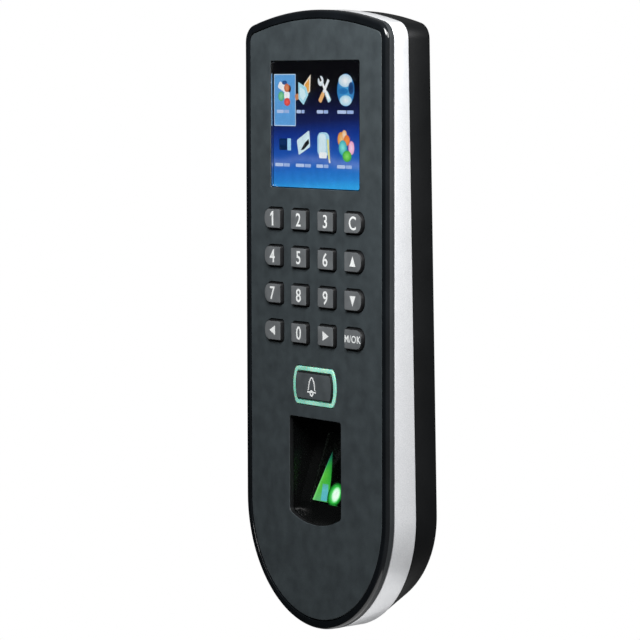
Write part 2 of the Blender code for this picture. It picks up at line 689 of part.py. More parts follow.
def sensor_optics():
    """The glass prism that the finger touches, its lamp, its camera and its board."""
    high = PRISM_LOW + PRISM_LENGTH
    section = [(PRISM_LOW, floor_height(PRISM_LOW, PRISM_THICKNESS)),
               (high, floor_height(high, PRISM_THICKNESS)),
               (high, floor_height(high, 0.0001)), (PRISM_LOW, floor_height(PRISM_LOW, 0.0001))]
    piece("sensor_prism", extruded_along_x(section, -PRISM_WIDTH / 2, PRISM_WIDTH / 2), GLASS, face)
    half = WELL_WIDTH / 2 - WELL_WALL - GAP
    board = rectangle(-half, half, SCOOP_START + GAP, SCOOP_START + 0.0200)
    piece("sensor_board", slab(board, SENSOR_BOARD_BACK, SENSOR_BOARD_FRONT), BOARD_GREEN, face)
    camera_low = SENSOR_BOARD_FRONT + GAP
    base = circle(CAMERA_DIAMETER)
    barrel = circle(CAMERA_DIAMETER * 0.7)
    step_up = camera_low + CAMERA_HEIGHT / 2
    camera = skinned([at(base, camera_low), at(base, step_up), at(barrel, step_up),
                      at(barrel, camera_low + CAMERA_HEIGHT)])
    piece("sensor_camera", camera, CHIP, face, (0, SCOOP_START + CAMERA_UP, 0), smooth=50)
    lamp = rectangle(-0.0060, 0.0060, SCOOP_START + 0.0020, SCOOP_START + 0.0045)
    piece("sensor_lamp", slab(lamp, camera_low, camera_low + 0.0014), LIGHT_GUIDE, face)


def silver_band():
    """The wedge-shaped band between the leaning frame and the upright rear housing."""
    def in_front(inset, drop):
        skin = at(terminal_outline(inset), FRAME_BACK - GAP - drop)
        return [FACE_TO_WALL @ point for point in skin]

    def behind(inset, lift):
        return at(terminal_outline(inset), REAR_DEPTH + GAP / 2 + lift)

    inner = BAND_INSET + BAND_WALL
    rings = [behind(BAND_INSET + BAND_EDGE, 0), behind(BAND_INSET, BAND_EDGE),
             in_front(BAND_INSET, BAND_EDGE), in_front(BAND_INSET + BAND_EDGE, 0),
             in_front(inner, 0), behind(inner, 0)]
    piece("silver_band", skinned(rings, looped=True), SILVER, wall, smooth=25)


def rear_housing():
    """The rear shell: tapered below, rounded at the back, with a pocket for the bracket."""
    front = REAR_DEPTH - GAP / 2
    inner = HOUSING_INSET + HOUSING_WALL
    rings = [at(terminal_outline(HOUSING_BACK_INSET + HOUSING_BACK_ROUNDING, HOUSING_BOTTOM_RISE), 0)]
    for angle in (60, 30, 0):
        turn = math.radians(angle)
        inset = HOUSING_BACK_INSET + HOUSING_BACK_ROUNDING * (1 - math.cos(turn))
        height = HOUSING_BACK_ROUNDING * (1 - math.sin(turn))
        share = 1 - height / REAR_DEPTH
        rings.append(at(terminal_outline(inset, HOUSING_BOTTOM_RISE * share), height))
    rings.append(at(terminal_outline(HOUSING_INSET), front))
    rings.append(at(terminal_outline(inner), front))
    rings.append(at(terminal_outline(inner, HOUSING_BOTTOM_RISE), WEB_FRONT))
    made = piece("rear_housing", skinned(rings), REAR_BLACK, wall)
    posts = [slab(circle(STANDOFF_DIAMETER, place), WEB_FRONT - 0.001, BOARD_BACK - GAP)
             for place in BOARD_SCREW_PLACES]
    change(made, "UNION", joined(posts), wall, "standoffs")
    change(made, "DIFFERENCE", joined(bracket_recess()), wall, "bracket_recess")
    change(made, "DIFFERENCE", joined(housing_holes()), wall, "holes")
    change(made, "DIFFERENCE", joined(housing_seats()), wall, "screw_seats")


def bracket_recess():
    """The pocket for the bracket and the channel for its tongue, in one shape."""
    room = POCKET_CLEARANCE
    left = -BRACKET_HALF_WIDTH - room
    outline = [(-left, BRACKET_TOP + room), (left, BRACKET_TOP + room),
               (left, BRACKET_BOTTOM - room), (-TONGUE_WIDTH / 2 - room, BRACKET_BOTTOM - room),
               (-TONGUE_WIDTH / 2 - room, TONGUE_END - room),
               (TONGUE_WIDTH / 2 + room, TONGUE_END - room),
               (TONGUE_WIDTH / 2 + room, BRACKET_BOTTOM - room), (-left, BRACKET_BOTTOM - room)]
    return [slab(outline, -0.001, WEB_BACK)]


def housing_holes():
    """Everything that goes through the housing's web or its left side."""
    below = WEB_BACK - 0.0005
    above = WEB_FRONT + 0.001
    cuts = [slab(rectangle(-CABLE_OPENING_WIDTH / 2, CABLE_OPENING_WIDTH / 2, CABLE_OPENING_BASE,
                           CABLE_OPENING_BASE + CABLE_OPENING_HEIGHT), below, above)]
    for x in HOOK_PLACES:
        hook_half = HOOK_WIDTH / 2 + POCKET_CLEARANCE
        cuts.append(slab(rectangle(x - hook_half, x + hook_half, HOOK_BASE - HOOK_LIFT - 0.002,
                                   HOOK_BASE + BRACKET_THICKNESS + POCKET_CLEARANCE), below, above))
    half = TONGUE_WIDTH / 2 + POCKET_CLEARANCE
    cuts.append(slab(rectangle(-half, half, TONGUE_END - POCKET_CLEARANCE, TONGUE_END + 0.0045),
                     below, above))
    for place in CASE_SCREW_PLACES:
        cuts.append(slab(circle(CASE_SCREW_SHANK + 2 * GAP, place, 12), below - WEB_BACK, above))
    for place in BOARD_SCREW_PLACES:
        cuts.append(slab(circle(BOARD_SCREW_SHANK + 2 * GAP, place, 12), WEB_FRONT, BOARD_BACK))
    cuts.append(slab(circle(TAMPER_PLUNGER + 2 * GAP, TAMPER_PLACE, 12), below, above))
    slot_back = (WEB_FRONT + REAR_DEPTH - SPEAKER_SLOT_LENGTH) / 2
    for step in range(SPEAKER_SLOTS):
        v = SPEAKER_PLACE[1] + (step - (SPEAKER_SLOTS - 1) / 2) * SPEAKER_SLOT_PITCH
        slot = rectangle(-HALF_WIDTH - 0.001, -HALF_WIDTH + HOUSING_INSET + 2 * HOUSING_WALL,
                         v - SPEAKER_SLOT_HEIGHT / 2, v + SPEAKER_SLOT_HEIGHT / 2)
        cuts.append(slab(slot, slot_back, slot_back + SPEAKER_SLOT_LENGTH))
    return cuts


def housing_seats():
    """The pockets for the case screws' heads, and the locking screw's stepped hole."""
    cuts = [slab(circle(CASE_HEAD_POCKET, place), -0.001, WEB_BACK) for place in CASE_SCREW_PLACES]
    bore = circle(LOCK_SCREW_SHANK + 2 * GAP)
    seat = circle(LOCK_SCREW_HEAD + 4 * GAP)
    step = lock_head_seat() - GAP
    stepped = skinned([at(bore, -TONGUE_END - 0.001), at(bore, step), at(seat, step),
                       at(seat, HALF_HEIGHT)])
    cuts.append(moved(stepped, downward_at_lock()))
    return cuts


def downward_at_lock():
    """Turns a shape's own +Z to point down, along the locking screw's axis."""
    return Matrix.Translation((0, 0, LOCK_SCREW_DEPTH)) @ Matrix.Rotation(math.pi / 2, 4, "X")


def lock_head_seat():
    """How far below the middle the locking screw's head starts."""
    return HALF_HEIGHT - HOUSING_BOTTOM_RISE - LOCK_SCREW_HEAD_HEIGHT


def wall_bracket():
    """The steel plate on the wall, with two hooks, a bent lower tab and its holes."""
    outline = rectangle(-BRACKET_HALF_WIDTH, BRACKET_HALF_WIDTH, BRACKET_BOTTOM, BRACKET_TOP,
                        BRACKET_CORNER)
    made = piece("wall_bracket", slab(outline, 0, BRACKET_THICKNESS), STEEL, wall)
    hook_front = WEB_FRONT + GAP + BRACKET_THICKNESS * 0.8
    for index, x in enumerate(HOOK_PLACES):
        section = [(HOOK_BASE - BRACKET_THICKNESS, 0.0003),
                   (HOOK_BASE + HOOK_LIFT, WEB_FRONT + GAP), (HOOK_BASE + HOOK_LIFT, hook_front),
                   (HOOK_BASE - BRACKET_THICKNESS, hook_front)]
        section[1:1] = [(HOOK_BASE, 0.0003), (HOOK_BASE, WEB_FRONT + GAP)]
        skin = extruded_along_x(section, x - HOOK_WIDTH / 2, x + HOOK_WIDTH / 2)
        change(made, "UNION", skin, wall, f"hook_{index + 1}")
    half = TONGUE_WIDTH / 2
    tongue = rectangle(-half, half, TONGUE_END, BRACKET_BOTTOM + 0.006)
    change(made, "UNION", slab(tongue, 0, BRACKET_THICKNESS), wall, "tongue")
    tab = rectangle(-half, half, TONGUE_END, TONGUE_END + BRACKET_THICKNESS)
    change(made, "UNION", slab(tab, 0, LOCK_SCREW_DEPTH + 0.0026), wall, "tab")
    change(made, "DIFFERENCE", joined(bracket_holes()), wall, "holes")


def bracket_holes():
    """The cable opening, four wall screw holes and the locking screw's hole."""
    opening = rectangle(-CABLE_OPENING_WIDTH / 2 - 0.001, CABLE_OPENING_WIDTH / 2 + 0.001,
                        CABLE_OPENING_BASE - 0.001, CABLE_OPENING_BASE + CABLE_OPENING_HEIGHT + 0.001,
                        0.002)
    above = BRACKET_THICKNESS + 0.001
    cuts = [slab(opening, -0.001, above)]
    for x in (-BRACKET_HALF_WIDTH + WALL_SCREW_FROM_SIDE, BRACKET_HALF_WIDTH - WALL_SCREW_FROM_SIDE):
        for v in (BRACKET_TOP - WALL_SCREW_FROM_END, BRACKET_BOTTOM + WALL_SCREW_FROM_END):
            cuts.append(slab(circle(WALL_SCREW_HOLE, (x, v)), -0.001, above))
    bore = slab(circle(LOCK_SCREW_SHANK + 2 * GAP, (0, 0), 12), -TONGUE_END - 0.003,
                -TONGUE_END + 0.003)
    cuts.append(moved(bore, downward_at_lock()))
    return cuts


def screw(name, place, shank, length, head, head_height, turn=None, frame_parent=None, seat=0.0):
    """A pan-head screw: its head starts at the seat and its shank points along its own +Z."""
    rings = [at(circle(head * 0.7), seat - head_height), at(circle(head), seat - head_height * 0.55),
             at(circle(head), seat), at(circle(shank), seat), at(circle(shank), seat + length)]
    skin = skinned(rings)
    if turn:
        skin = moved(skin, turn)
    piece(name, skin, STEEL, frame_parent, place, smooth=40)


def screws():
    """Four case screws from behind, four board screws from the front, and the locking screw."""
    for index, (x, v) in enumerate(CASE_SCREW_PLACES):
        screw(f"case_screw_{index + 1}", (x, v, 0), CASE_SCREW_SHANK, CASE_SCREW_LENGTH,
              CASE_SCREW_HEAD, CASE_SCREW_HEAD_HEIGHT, frame_parent=wall, seat=WEB_BACK - GAP)
    half_turn = Matrix.Rotation(math.pi, 4, "X")
    for index, (x, v) in enumerate(BOARD_SCREW_PLACES):
        screw(f"board_screw_{index + 1}", (x, v, 0), BOARD_SCREW_SHANK, BOARD_SCREW_LENGTH,
              BOARD_SCREW_HEAD, BOARD_SCREW_HEAD_HEIGHT, half_turn, wall, -BOARD_FRONT - GAP)
    upward = Matrix.Rotation(-math.pi / 2, 4, "X")
    screw("locking_screw", (0, 0, LOCK_SCREW_DEPTH), LOCK_SCREW_SHANK, LOCK_SCREW_LENGTH,
          LOCK_SCREW_HEAD, LOCK_SCREW_HEAD_HEIGHT, upward, wall, -lock_head_seat())


def main_board():
    """The main circuit board on the housing's standoffs."""
    outline = rectangle(-BOARD_HALF_WIDTH, BOARD_HALF_WIDTH, BOARD_BOTTOM, BOARD_TOP, 0.002)
    made = piece("main_board", slab(outline, BOARD_BACK, BOARD_FRONT), BOARD_GREEN, wall)
    holes = [slab(circle(BOARD_SCREW_SHANK + 2 * GAP, place, 12), BOARD_BACK - 0.001,
                  BOARD_FRONT + 0.001) for place in BOARD_SCREW_PLACES]
    change(made, "DIFFERENCE", joined(holes), wall, "screw_holes")


def headers():
    """Three wire headers behind the cable opening, each open towards the wall."""
    upper = CABLE_OPENING_BASE + CABLE_OPENING_HEIGHT * 0.72
    lower = CABLE_OPENING_BASE + CABLE_OPENING_HEIGHT * 0.30
    layout = (("network_header", 0.0, upper, 0.0160), ("power_header", -0.0082, lower, 0.0120),
              ("lock_header", 0.0082, lower, 0.0120))
    for name, x, v, width in layout:
        outer = rounded_outline(width, HEADER_HEIGHT, (0.0004,) * 4, (x, v), 2)
        inner = rounded_outline(width - 2 * HEADER_WALL, HEADER_HEIGHT - 2 * HEADER_WALL,
                                (0.0003,) * 4, (x, v), 2)
        floor = BOARD_BACK - GAP - 0.0008
        rings = [at(inner, floor), at(inner, HEADER_BACK), at(outer, HEADER_BACK),
                 at(outer, BOARD_BACK - GAP)]
        piece(name, skinned(rings), NYLON, wall)


def backup_battery():
    """A coin cell in its holder on the front of the main board."""
    place = (-0.0130, (KEYPAD_TOP + KEYPAD_PAD_BOTTOM) / 2, 0)
    low = BOARD_FRONT + GAP
    inner = CELL_DIAMETER + 2 * GAP
    outer = inner + 2 * HOLDER_WALL
    rings = [at(circle(outer, steps=24), low), at(circle(outer, steps=24), low + HOLDER_HEIGHT),
             at(circle(inner, steps=24), low + HOLDER_HEIGHT),
             at(circle(inner, steps=24), low + HOLDER_FLOOR)]
    piece("cell_holder", skinned(rings), NYLON, wall, place)
    cell_low = low + HOLDER_FLOOR + GAP
    cell = circle(CELL_DIAMETER, steps=24)
    rim = circle(CELL_DIAMETER * 0.92, steps=24)
    rings = [at(cell, cell_low), at(cell, cell_low + CELL_THICKNESS * 0.8),
             at(rim, cell_low + CELL_THICKNESS * 0.85), at(rim, cell_low + CELL_THICKNESS)]
    piece("backup_cell", skinned(rings), STEEL, wall, place)


def card_coil():
    """The flat antenna coil of the card reader, behind the keypad board."""
    centre = (0, (KEYPAD_TOP + KEYPAD_PAD_BOTTOM) / 2)
    high = KEYPAD_BOARD_BACK - GAP
    outer = rounded_outline(COIL_WIDTH, COIL_HEIGHT, (0.006,) * 4, centre)
    inner = rounded_outline(COIL_WIDTH - 2 * COIL_BAND, COIL_HEIGHT - 2 * COIL_BAND,
                            (0.003,) * 4, centre)
    rings = [at(outer, high - COIL_THICKNESS), at(outer, high), at(inner, high),
             at(inner, high - COIL_THICKNESS)]
    piece("card_coil", skinned(rings, looped=True), COPPER, face)


def processor():
    """The shielded processor on the front of the main board, behind the display."""
    half = PROCESSOR_SIZE / 2
    low = BOARD_FRONT + GAP
    outline = rectangle(-half, half, WINDOW_CENTRE - half, WINDOW_CENTRE + half, 0.0010)
    piece("processor_shield", slab(outline, low, low + PROCESSOR_THICKNESS), STEEL, wall)


def speaker():
    """The small voice speaker beside the well, whose sound leaves by the slots in the left side."""
    low = WEB_FRONT + GAP
    full = rounded_outline(SPEAKER_WIDTH, SPEAKER_HEIGHT, (0.0020,) * 4)
    rim = rounded_outline(SPEAKER_WIDTH - 0.0016, SPEAKER_HEIGHT - 0.0016, (0.0012,) * 4)
    rings = [at(full, low), at(full, low + SPEAKER_THICKNESS * 0.7),
             at(rim, low + SPEAKER_THICKNESS * 0.8), at(rim, low + SPEAKER_THICKNESS)]
    piece("speaker", skinned(rings), CHIP, wall, (*SPEAKER_PLACE, 0))


def tamper_switch():
    """The switch on the back of the main board and the plunger that rests on the bracket."""
    x, v = TAMPER_PLACE
    half = TAMPER_BODY_WIDTH / 2
    top = BOARD_BACK - GAP
    outer = rectangle(x - half, x + half, v - half, v + half)
    made = piece("tamper_switch", slab(outer, WEB_FRONT + GAP, top), CHIP, wall)
    bore = slab(circle(TAMPER_PLUNGER + 2 * GAP, (x, v), 12), 0, top - 0.0003)
    change(made, "DIFFERENCE", bore, wall, "bore")
    low = BRACKET_THICKNESS + GAP
    high = top - 2 * GAP - TAMPER_TRAVEL
    tip = circle(TAMPER_PLUNGER * 0.6, steps=12)
    rod = circle(TAMPER_PLUNGER, steps=12)
    rings = [at(tip, 0), at(rod, 0.0004), at(rod, high - low)]
    piece("tamper_plunger", skinned(rings), NYLON, wall, (x, v, low), smooth=50)


def ribbons():
    """Flat leads from the display and the sensor board to the main board."""
    half = 0.0080
    behind_display = (FACE_TO_WALL @ Vector((0, WINDOW_CENTRE, LCD_BACK))).z - GAP
    lead = rectangle(-half, -half + 0.0012 + 0.0080, WINDOW_CENTRE + 0.0040, WINDOW_CENTRE + 0.0044)
    processor_top = BOARD_FRONT + 2 * GAP + PROCESSOR_THICKNESS
    piece("display_ribbon", slab(lead, processor_top, behind_display - GAP), FLEX, wall)
    depth = (FACE_TO_WALL @ Vector((0, SCOOP_START, SENSOR_BOARD_BACK))).z
    edge = WELL_WIDTH / 2 - WELL_WALL
    run = WELL_WIDTH / 2 + WELL_WALL + RIBBON_FROM_WELL
    low = SCOOP_START + 0.0055
    high = BOARD_BOTTOM + BOARD_SCREW_FROM_END - STANDOFF_DIAMETER / 2 - 2 * GAP
    outline = [(edge, low), (run + RIBBON_WIDTH, low), (run + RIBBON_WIDTH, high),
               (run, high), (run, low + RIBBON_WIDTH), (edge, low + RIBBON_WIDTH)]
    piece("sensor_ribbon", slab(outline, depth, depth + RIBBON_THICKNESS), FLEX, wall)


front_frame()
face_plate()
display_window()
lcd_module()
display_cradle()
keypad_keys()
bell_key()
bell_light_ring()
keypad_mat_and_board()
sensor_well()
sensor_optics()
silver_band()
rear_housing()
wall_bracket()
screws()
main_board()
headers()
backup_battery()
card_coil()
processor()
speaker()
tamper_switch()
ribbons()
bpy.context.view_layer.update()
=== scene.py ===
"""Looks of a wall-mounted fingerprint scanner terminal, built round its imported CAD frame.

The wall is the plane Y = 0 and the terminal faces -Y. Two flat frames carry every outline: WALL
counts depth out from the wall, and FACE lies in the leaning front, with its own Z out of the face.
"""

import json
import math

import bmesh
import bpy
from mathutils import Matrix, Vector


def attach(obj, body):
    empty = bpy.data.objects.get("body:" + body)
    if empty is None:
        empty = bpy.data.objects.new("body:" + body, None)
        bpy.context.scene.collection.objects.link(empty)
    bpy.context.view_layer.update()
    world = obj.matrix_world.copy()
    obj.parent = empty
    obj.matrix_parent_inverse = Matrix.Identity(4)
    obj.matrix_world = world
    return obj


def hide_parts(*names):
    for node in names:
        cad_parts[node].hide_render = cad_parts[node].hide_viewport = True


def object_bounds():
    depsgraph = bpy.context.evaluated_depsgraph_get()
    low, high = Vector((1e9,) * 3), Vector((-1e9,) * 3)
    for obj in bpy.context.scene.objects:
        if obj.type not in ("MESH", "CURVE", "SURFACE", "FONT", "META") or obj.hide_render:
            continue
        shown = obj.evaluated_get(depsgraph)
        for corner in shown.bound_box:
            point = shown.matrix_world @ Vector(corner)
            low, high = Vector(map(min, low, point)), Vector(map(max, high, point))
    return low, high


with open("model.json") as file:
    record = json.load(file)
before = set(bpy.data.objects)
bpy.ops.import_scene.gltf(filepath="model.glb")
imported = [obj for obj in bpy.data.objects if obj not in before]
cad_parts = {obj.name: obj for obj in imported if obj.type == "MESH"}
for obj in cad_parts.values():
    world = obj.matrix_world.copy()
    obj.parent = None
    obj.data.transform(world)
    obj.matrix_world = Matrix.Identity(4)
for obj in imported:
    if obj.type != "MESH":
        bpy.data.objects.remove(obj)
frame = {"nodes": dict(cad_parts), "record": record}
cad_low, cad_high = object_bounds()

# Small sizes shared with the CAD model, in metres
GAP = 0.0003
PLATE_RECESS = 0.00025
PLATE_THICKNESS = 0.00165
FRAME_RIM = 0.0027
FRAME_ROUNDING = 0.0011
FRAME_LEDGE_REACH = 0.0045
FRAME_DEPTH = 0.0030
TOP_ARCH_RADIUS = 0.1500
TOP_CORNER_RADIUS = 0.0060
SMALLEST_CORNER = 0.0006
BAND_INSET = 0.0001
BAND_WALL = 0.0025
BAND_EDGE = 0.0004
HOUSING_INSET = 0.0004
HOUSING_WALL = 0.0026
HOUSING_BACK_INSET = 0.0006
HOUSING_BACK_ROUNDING = 0.0014
HOUSING_BOTTOM_RISE = 0.0060
WEB_BACK = 0.0022
WEB_FRONT = 0.0042
KEY_CORNER = 0.0009
KEY_ROUND_END = 0.0031
KEY_DRAFT = 0.00015
KEY_EDGE = 0.0004
RETAINER_REACH = 0.0006
RING_END_RADIUS = 0.0125
RING_CORNER = 0.0020
RING_WALL = 0.0014
RING_PROUD = 0.0002
WELL_ARCH_RADIUS = 0.0335
WELL_CORNER = 0.0020
WELL_TOP_CORNER = 0.0010
WELL_WALL = 0.0012
WELL_SHALLOW = 0.0046
SCOOP_LENGTH = 0.0066
PRISM_SINK = 0.0001
CASE_HEAD_POCKET = 0.0064
CASE_BOSS = 0.0056
CASE_SCREW_HOLE = 0.0031
CASE_SCREW_HOLE_END = 0.0115
LOCK_SCREW_DEPTH = 0.0047
LOCK_SCREW_HOLE = 0.0036
LOCK_HEAD_HOLE = 0.0066
LOCK_HEAD_HEIGHT = 0.0018
STANDOFF = 0.0052
STANDOFF_BORE = 0.0026
BRACKET_THICKNESS = 0.0015
BRACKET_CORNER = 0.0040
HOOK_INSET = 0.0080
HOOK_HALF_WIDTH = 0.0040
HOOK_REACH = 0.0030
WALL_HOLE_INSET = (0.0085, 0.0070)
TONGUE_HALF_WIDTH = 0.0080
POCKET_CLEARANCE = 0.0008
PLUNGER_HOLE = 0.0030
SPEAKER_SLOT = (0.0026, 0.0012)
SPEAKER_SLOT_PITCH = 0.0026
THROUGH = 0.001


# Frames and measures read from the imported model


def front_mount():
    """The flat face mount on the front plate."""
    return next(mount for mount in frame["record"]["mounts"] if mount["name"] == "front_face")


def face_frame():
    """The matrix of the leaning front face, worked out from the mount that lies on it."""
    mount = front_mount()
    lean = math.atan2(mount["axis"][2], -mount["axis"][1])
    up = (mount["pos_m"][2] + PLATE_RECESS * math.sin(lean)) / math.cos(lean)
    depth = up * math.sin(lean) + PLATE_RECESS * math.cos(lean) - mount["pos_m"][1]
    return Matrix.Translation((0, -depth, 0)) @ Matrix.Rotation(math.pi / 2 - lean, 4, "X")


def span(node, matrix):
    """Lowest and highest corner of a CAD node, measured in one of the two frames."""
    back = matrix.inverted()
    points = [back @ vertex.co for vertex in frame["nodes"][node].data.vertices]
    return (Vector([min(point[axis] for point in points) for axis in range(3)]),
            Vector([max(point[axis] for point in points) for axis in range(3)]))


def middle(node, matrix):
    """The middle of a CAD node's box in one of the two frames."""
    low, high = span(node, matrix)
    return (low + high) / 2


FACE = face_frame()
WALL = Matrix.Rotation(math.pi / 2, 4, "X")
HALF_WIDTH = span("front_frame", FACE)[1].x
HALF_HEIGHT = span("rear_housing", WALL)[1].y + HOUSING_INSET
REAR_DEPTH = span("rear_housing", WALL)[1].z + GAP / 2
BOWL_CENTRE = -HALF_HEIGHT + HALF_WIDTH
PLATE_FRONT = -PLATE_RECESS
PLATE_BACK = PLATE_FRONT - PLATE_THICKNESS
LEDGE_FRONT = PLATE_BACK - GAP
RETAINER_TOP = PLATE_BACK - GAP
RING_LOW, RING_HIGH = span("bell_light_ring", FACE)
WELL_LOW, WELL_HIGH = span("sensor_well", FACE)
WELL_HALF_WIDTH = WELL_HIGH.x - WELL_WALL
WELL_TOP = WELL_HIGH.y - WELL_WALL
WELL_BOTTOM = WELL_LOW.y + WELL_WALL
SCOOP_START = WELL_BOTTOM + SCOOP_LENGTH
WELL_FALL = (-WELL_LOW.z - WELL_WALL - WELL_SHALLOW) / (WELL_TOP - SCOOP_START)

KEYS = (("key_1", "key_2", "key_3", "key_clear"),
        ("key_4", "key_5", "key_6", "key_up"),
        ("key_7", "key_8", "key_9", "key_down"),
        ("key_left", "key_0", "key_right", "key_menu_ok"))
LEGENDS = {"key_clear": "C", "key_menu_ok": "M/OK"}
ARROWS = {"key_up": 90, "key_down": -90, "key_left": 180, "key_right": 0}


# Colours and node materials


def linear(code):
    """An sRGB hex colour as linear red, green, blue and full alpha."""
    parts = [int(code[start:start + 2], 16) / 255 for start in (1, 3, 5)]
    return (*[c / 12.92 if c <= 0.04045 else ((c + 0.055) / 1.055) ** 2.4 for c in parts], 1.0)


def add(tree, kind, inputs=None, **settings):
    """Adds a node with its settings, input values and links."""
    node = tree.nodes.new(kind)
    for key, value in settings.items():
        setattr(node, key, value)
    for key, value in (inputs or {}).items():
        if isinstance(value, bpy.types.NodeSocket):
            tree.links.new(value, node.inputs[key])
        else:
            node.inputs[key].default_value = value
    return node


def new_material(name, **values):
    """A Principled material; returns it with its tree and its shader."""
    made = bpy.data.materials.new(name)
    made.use_nodes = True
    shader = made.node_tree.nodes["Principled BSDF"]
    for key, value in values.items():
        shader.inputs[key.replace("_", " ")].default_value = value
    return made, made.node_tree, shader


def noise(tree, millimetres, detail=2.0, roughness=0.5, stretch=(1, 1, 1)):
    """Noise with features of about the given size, on Object coordinates."""
    place = add(tree, "ShaderNodeTexCoord")
    scaled = add(tree, "ShaderNodeMapping", {"Vector": place.outputs["Object"], "Scale": stretch})
    return add(tree, "ShaderNodeTexNoise", {"Vector": scaled.outputs["Vector"],
                                            "Scale": 1000 / millimetres, "Detail": detail,
                                            "Roughness": roughness}).outputs["Fac"]


def spread(tree, value, low, high):
    """A 0 to 1 value, steepened about its middle, mapped between two numbers."""
    return add(tree, "ShaderNodeMapRange", {"Value": value, "From Min": 0.3, "From Max": 0.7,
                                            "To Min": low, "To Max": high}).outputs["Result"]


def mixed_colour(tree, share, first, second):
    """A colour mix whose sockets are picked by identifier, as a Mix node has several of each name."""
    node = tree.nodes.new("ShaderNodeMix")
    node.data_type = "RGBA"
    sockets = {socket.identifier: socket for socket in node.inputs}
    tree.links.new(share, sockets["Factor_Float"])
    sockets["A_Color"].default_value = linear(first)
    sockets["B_Color"].default_value = linear(second)
    return next(socket for socket in node.outputs if socket.identifier == "Result_Color")


def bump(tree, shader, height, strength, millimetres):
    """Bump of a real height in millimetres."""
    node = add(tree, "ShaderNodeBump", {"Height": height, "Strength": strength,
                                        "Distance": millimetres / 1000})
    tree.links.new(node.outputs["Normal"], shader.inputs["Normal"])


def moulded(name, dark, light, rough, grain, depth, clouds=14.0, **values):
    """A moulded plastic: faint clouding in its colour, and a grain that roughens and bumps it."""
    made, tree, shader = new_material(name, **values)
    cloud = noise(tree, clouds, 3.0)
    tree.links.new(mixed_colour(tree, spread(tree, cloud, 0.0, 1.0), dark, light),
                   shader.inputs["Base Color"])
    fine = noise(tree, grain, 3.0, 0.6)
    tree.links.new(spread(tree, fine, rough[0], rough[1]), shader.inputs["Roughness"])
    bump(tree, shader, fine, 1.0, depth)
    return made


# Gloss-moulded ABS from a polished tool: near black, mirror smooth but for a slight orange peel
GLOSS_ABS = moulded("gloss_moulded_abs", "#0b0d0f", "#101316", (0.10, 0.16), 2.6, 0.002, IOR=1.53)
# ABS from a spark-eroded tool: an even fine grain that kills the gloss, drawn at 0.35 mm to show
ERODED_ABS = moulded("spark_eroded_abs", "#292f32", "#343b3e", (0.50, 0.62), 0.35, 0.030, 5.0, IOR=1.53,
                     Specular_IOR_Level=0.40)
# The same plastic where the tool was only blasted, on the rim's side
BLASTED_ABS = moulded("blasted_abs", "#232628", "#292c2e", (0.45, 0.55), 0.30, 0.020, IOR=1.53,
                      Specular_IOR_Level=0.35)
# The same grain on the rear shell, in a blacker and slightly smoother plastic
REAR_ABS = moulded("satin_moulded_abs", "#090a0b", "#0e0f10", (0.36, 0.46), 0.45, 0.020, IOR=1.50,
                   Specular_IOR_Level=0.14)
# Polycarbonate key tops with a hard satin face that catches the light
KEY_PC = moulded("satin_polycarbonate", "#515456", "#606365", (0.34, 0.44), 0.30, 0.010, 5.0, IOR=1.58)
# Painted shade: the moulded key skirts and the walls of the plate's openings in near black, duller than the
# tops, standing in for their shade
SHADED_SIDE_BLACK = moulded("painted_shade_black", "#08090a", "#0d0e10", (0.45, 0.55), 0.30, 0.010,
                    IOR=1.58, Specular_IOR_Level=0.25)
# The bell key's face is a darker grey than the others
BELL_PC = moulded("dark_polycarbonate", "#3c4143", "#484d50", (0.30, 0.40), 0.30, 0.010, 5.0, IOR=1.58)
# The inside of the finger well is textured black so that it gives the camera no stray light
WELL_ABS = moulded("low_glare_abs", "#050606", "#080909", (0.22, 0.32), 0.40, 0.010, IOR=1.50,
                   Specular_IOR_Level=0.45)
# Natural nylon 66: creamy, slightly waxy
NYLON = moulded("natural_nylon", "#d9d3c2", "#e6e1d3", (0.42, 0.55), 0.5, 0.010, 6.0, IOR=1.53,
                Subsurface_Weight=0.15, Subsurface_Scale=0.001)
# Silicone rubber: soft grey, dusty and matt
SILICONE = moulded("silicone_rubber", "#6b6c6e", "#7b7c7e", (0.68, 0.82), 0.3, 0.015, 8.0, IOR=1.41)
# Epoxy moulding compound on chips: flat black with a sandy grain
EPOXY = moulded("epoxy_compound", "#17181a", "#1f2022", (0.55, 0.68), 0.2, 0.012, 3.0, IOR=1.55)


def silver_lacquer():
    """Silver lacquer on ABS: aluminium flakes under a thin clear coat, bright and softly glossy."""
    made, tree, shader = new_material("silver_lacquer", Metallic=0.45, IOR=1.5, Coat_Weight=0.35,
                                      Coat_Roughness=0.12)
    flakes = noise(tree, 0.22, 1.0, 0.4)
    tree.links.new(mixed_colour(tree, spread(tree, flakes, 0.0, 1.0), "#cdcfd2", "#e5e6e8"),
                   shader.inputs["Base Color"])
    tree.links.new(spread(tree, noise(tree, 5.0), 0.30, 0.38), shader.inputs["Roughness"])
    bump(tree, shader, flakes, 0.6, 0.004)
    return made


def zinc_plate():
    """Zinc-plated steel: a cool grey metal with cloudy passivation and fine rolling lines."""
    made, tree, shader = new_material("zinc_plated_steel", Metallic=1.0)
    cloud = noise(tree, 9.0, 4.0)
    lines = noise(tree, 0.5, 2.0, 0.5, (1, 1, 0.06))
    tree.links.new(mixed_colour(tree, spread(tree, cloud, 0.0, 1.0), "#a9abab", "#c9cbce"),
                   shader.inputs["Base Color"])
    tree.links.new(spread(tree, lines, 0.26, 0.44), shader.inputs["Roughness"])
    bump(tree, shader, lines, 0.5, 0.006)
    return made


def copper_wire():
    """Enamelled copper wire: red-brown metal under a thin varnish."""
    made, tree, shader = new_material("enamelled_copper", Metallic=1.0, Coat_Weight=0.6)
    along = noise(tree, 1.2, 2.0)
    tree.links.new(mixed_colour(tree, spread(tree, along, 0.0, 1.0), "#a55a30", "#cf8250"),
                   shader.inputs["Base Color"])
    tree.links.new(spread(tree, along, 0.22, 0.34), shader.inputs["Roughness"])
    return made


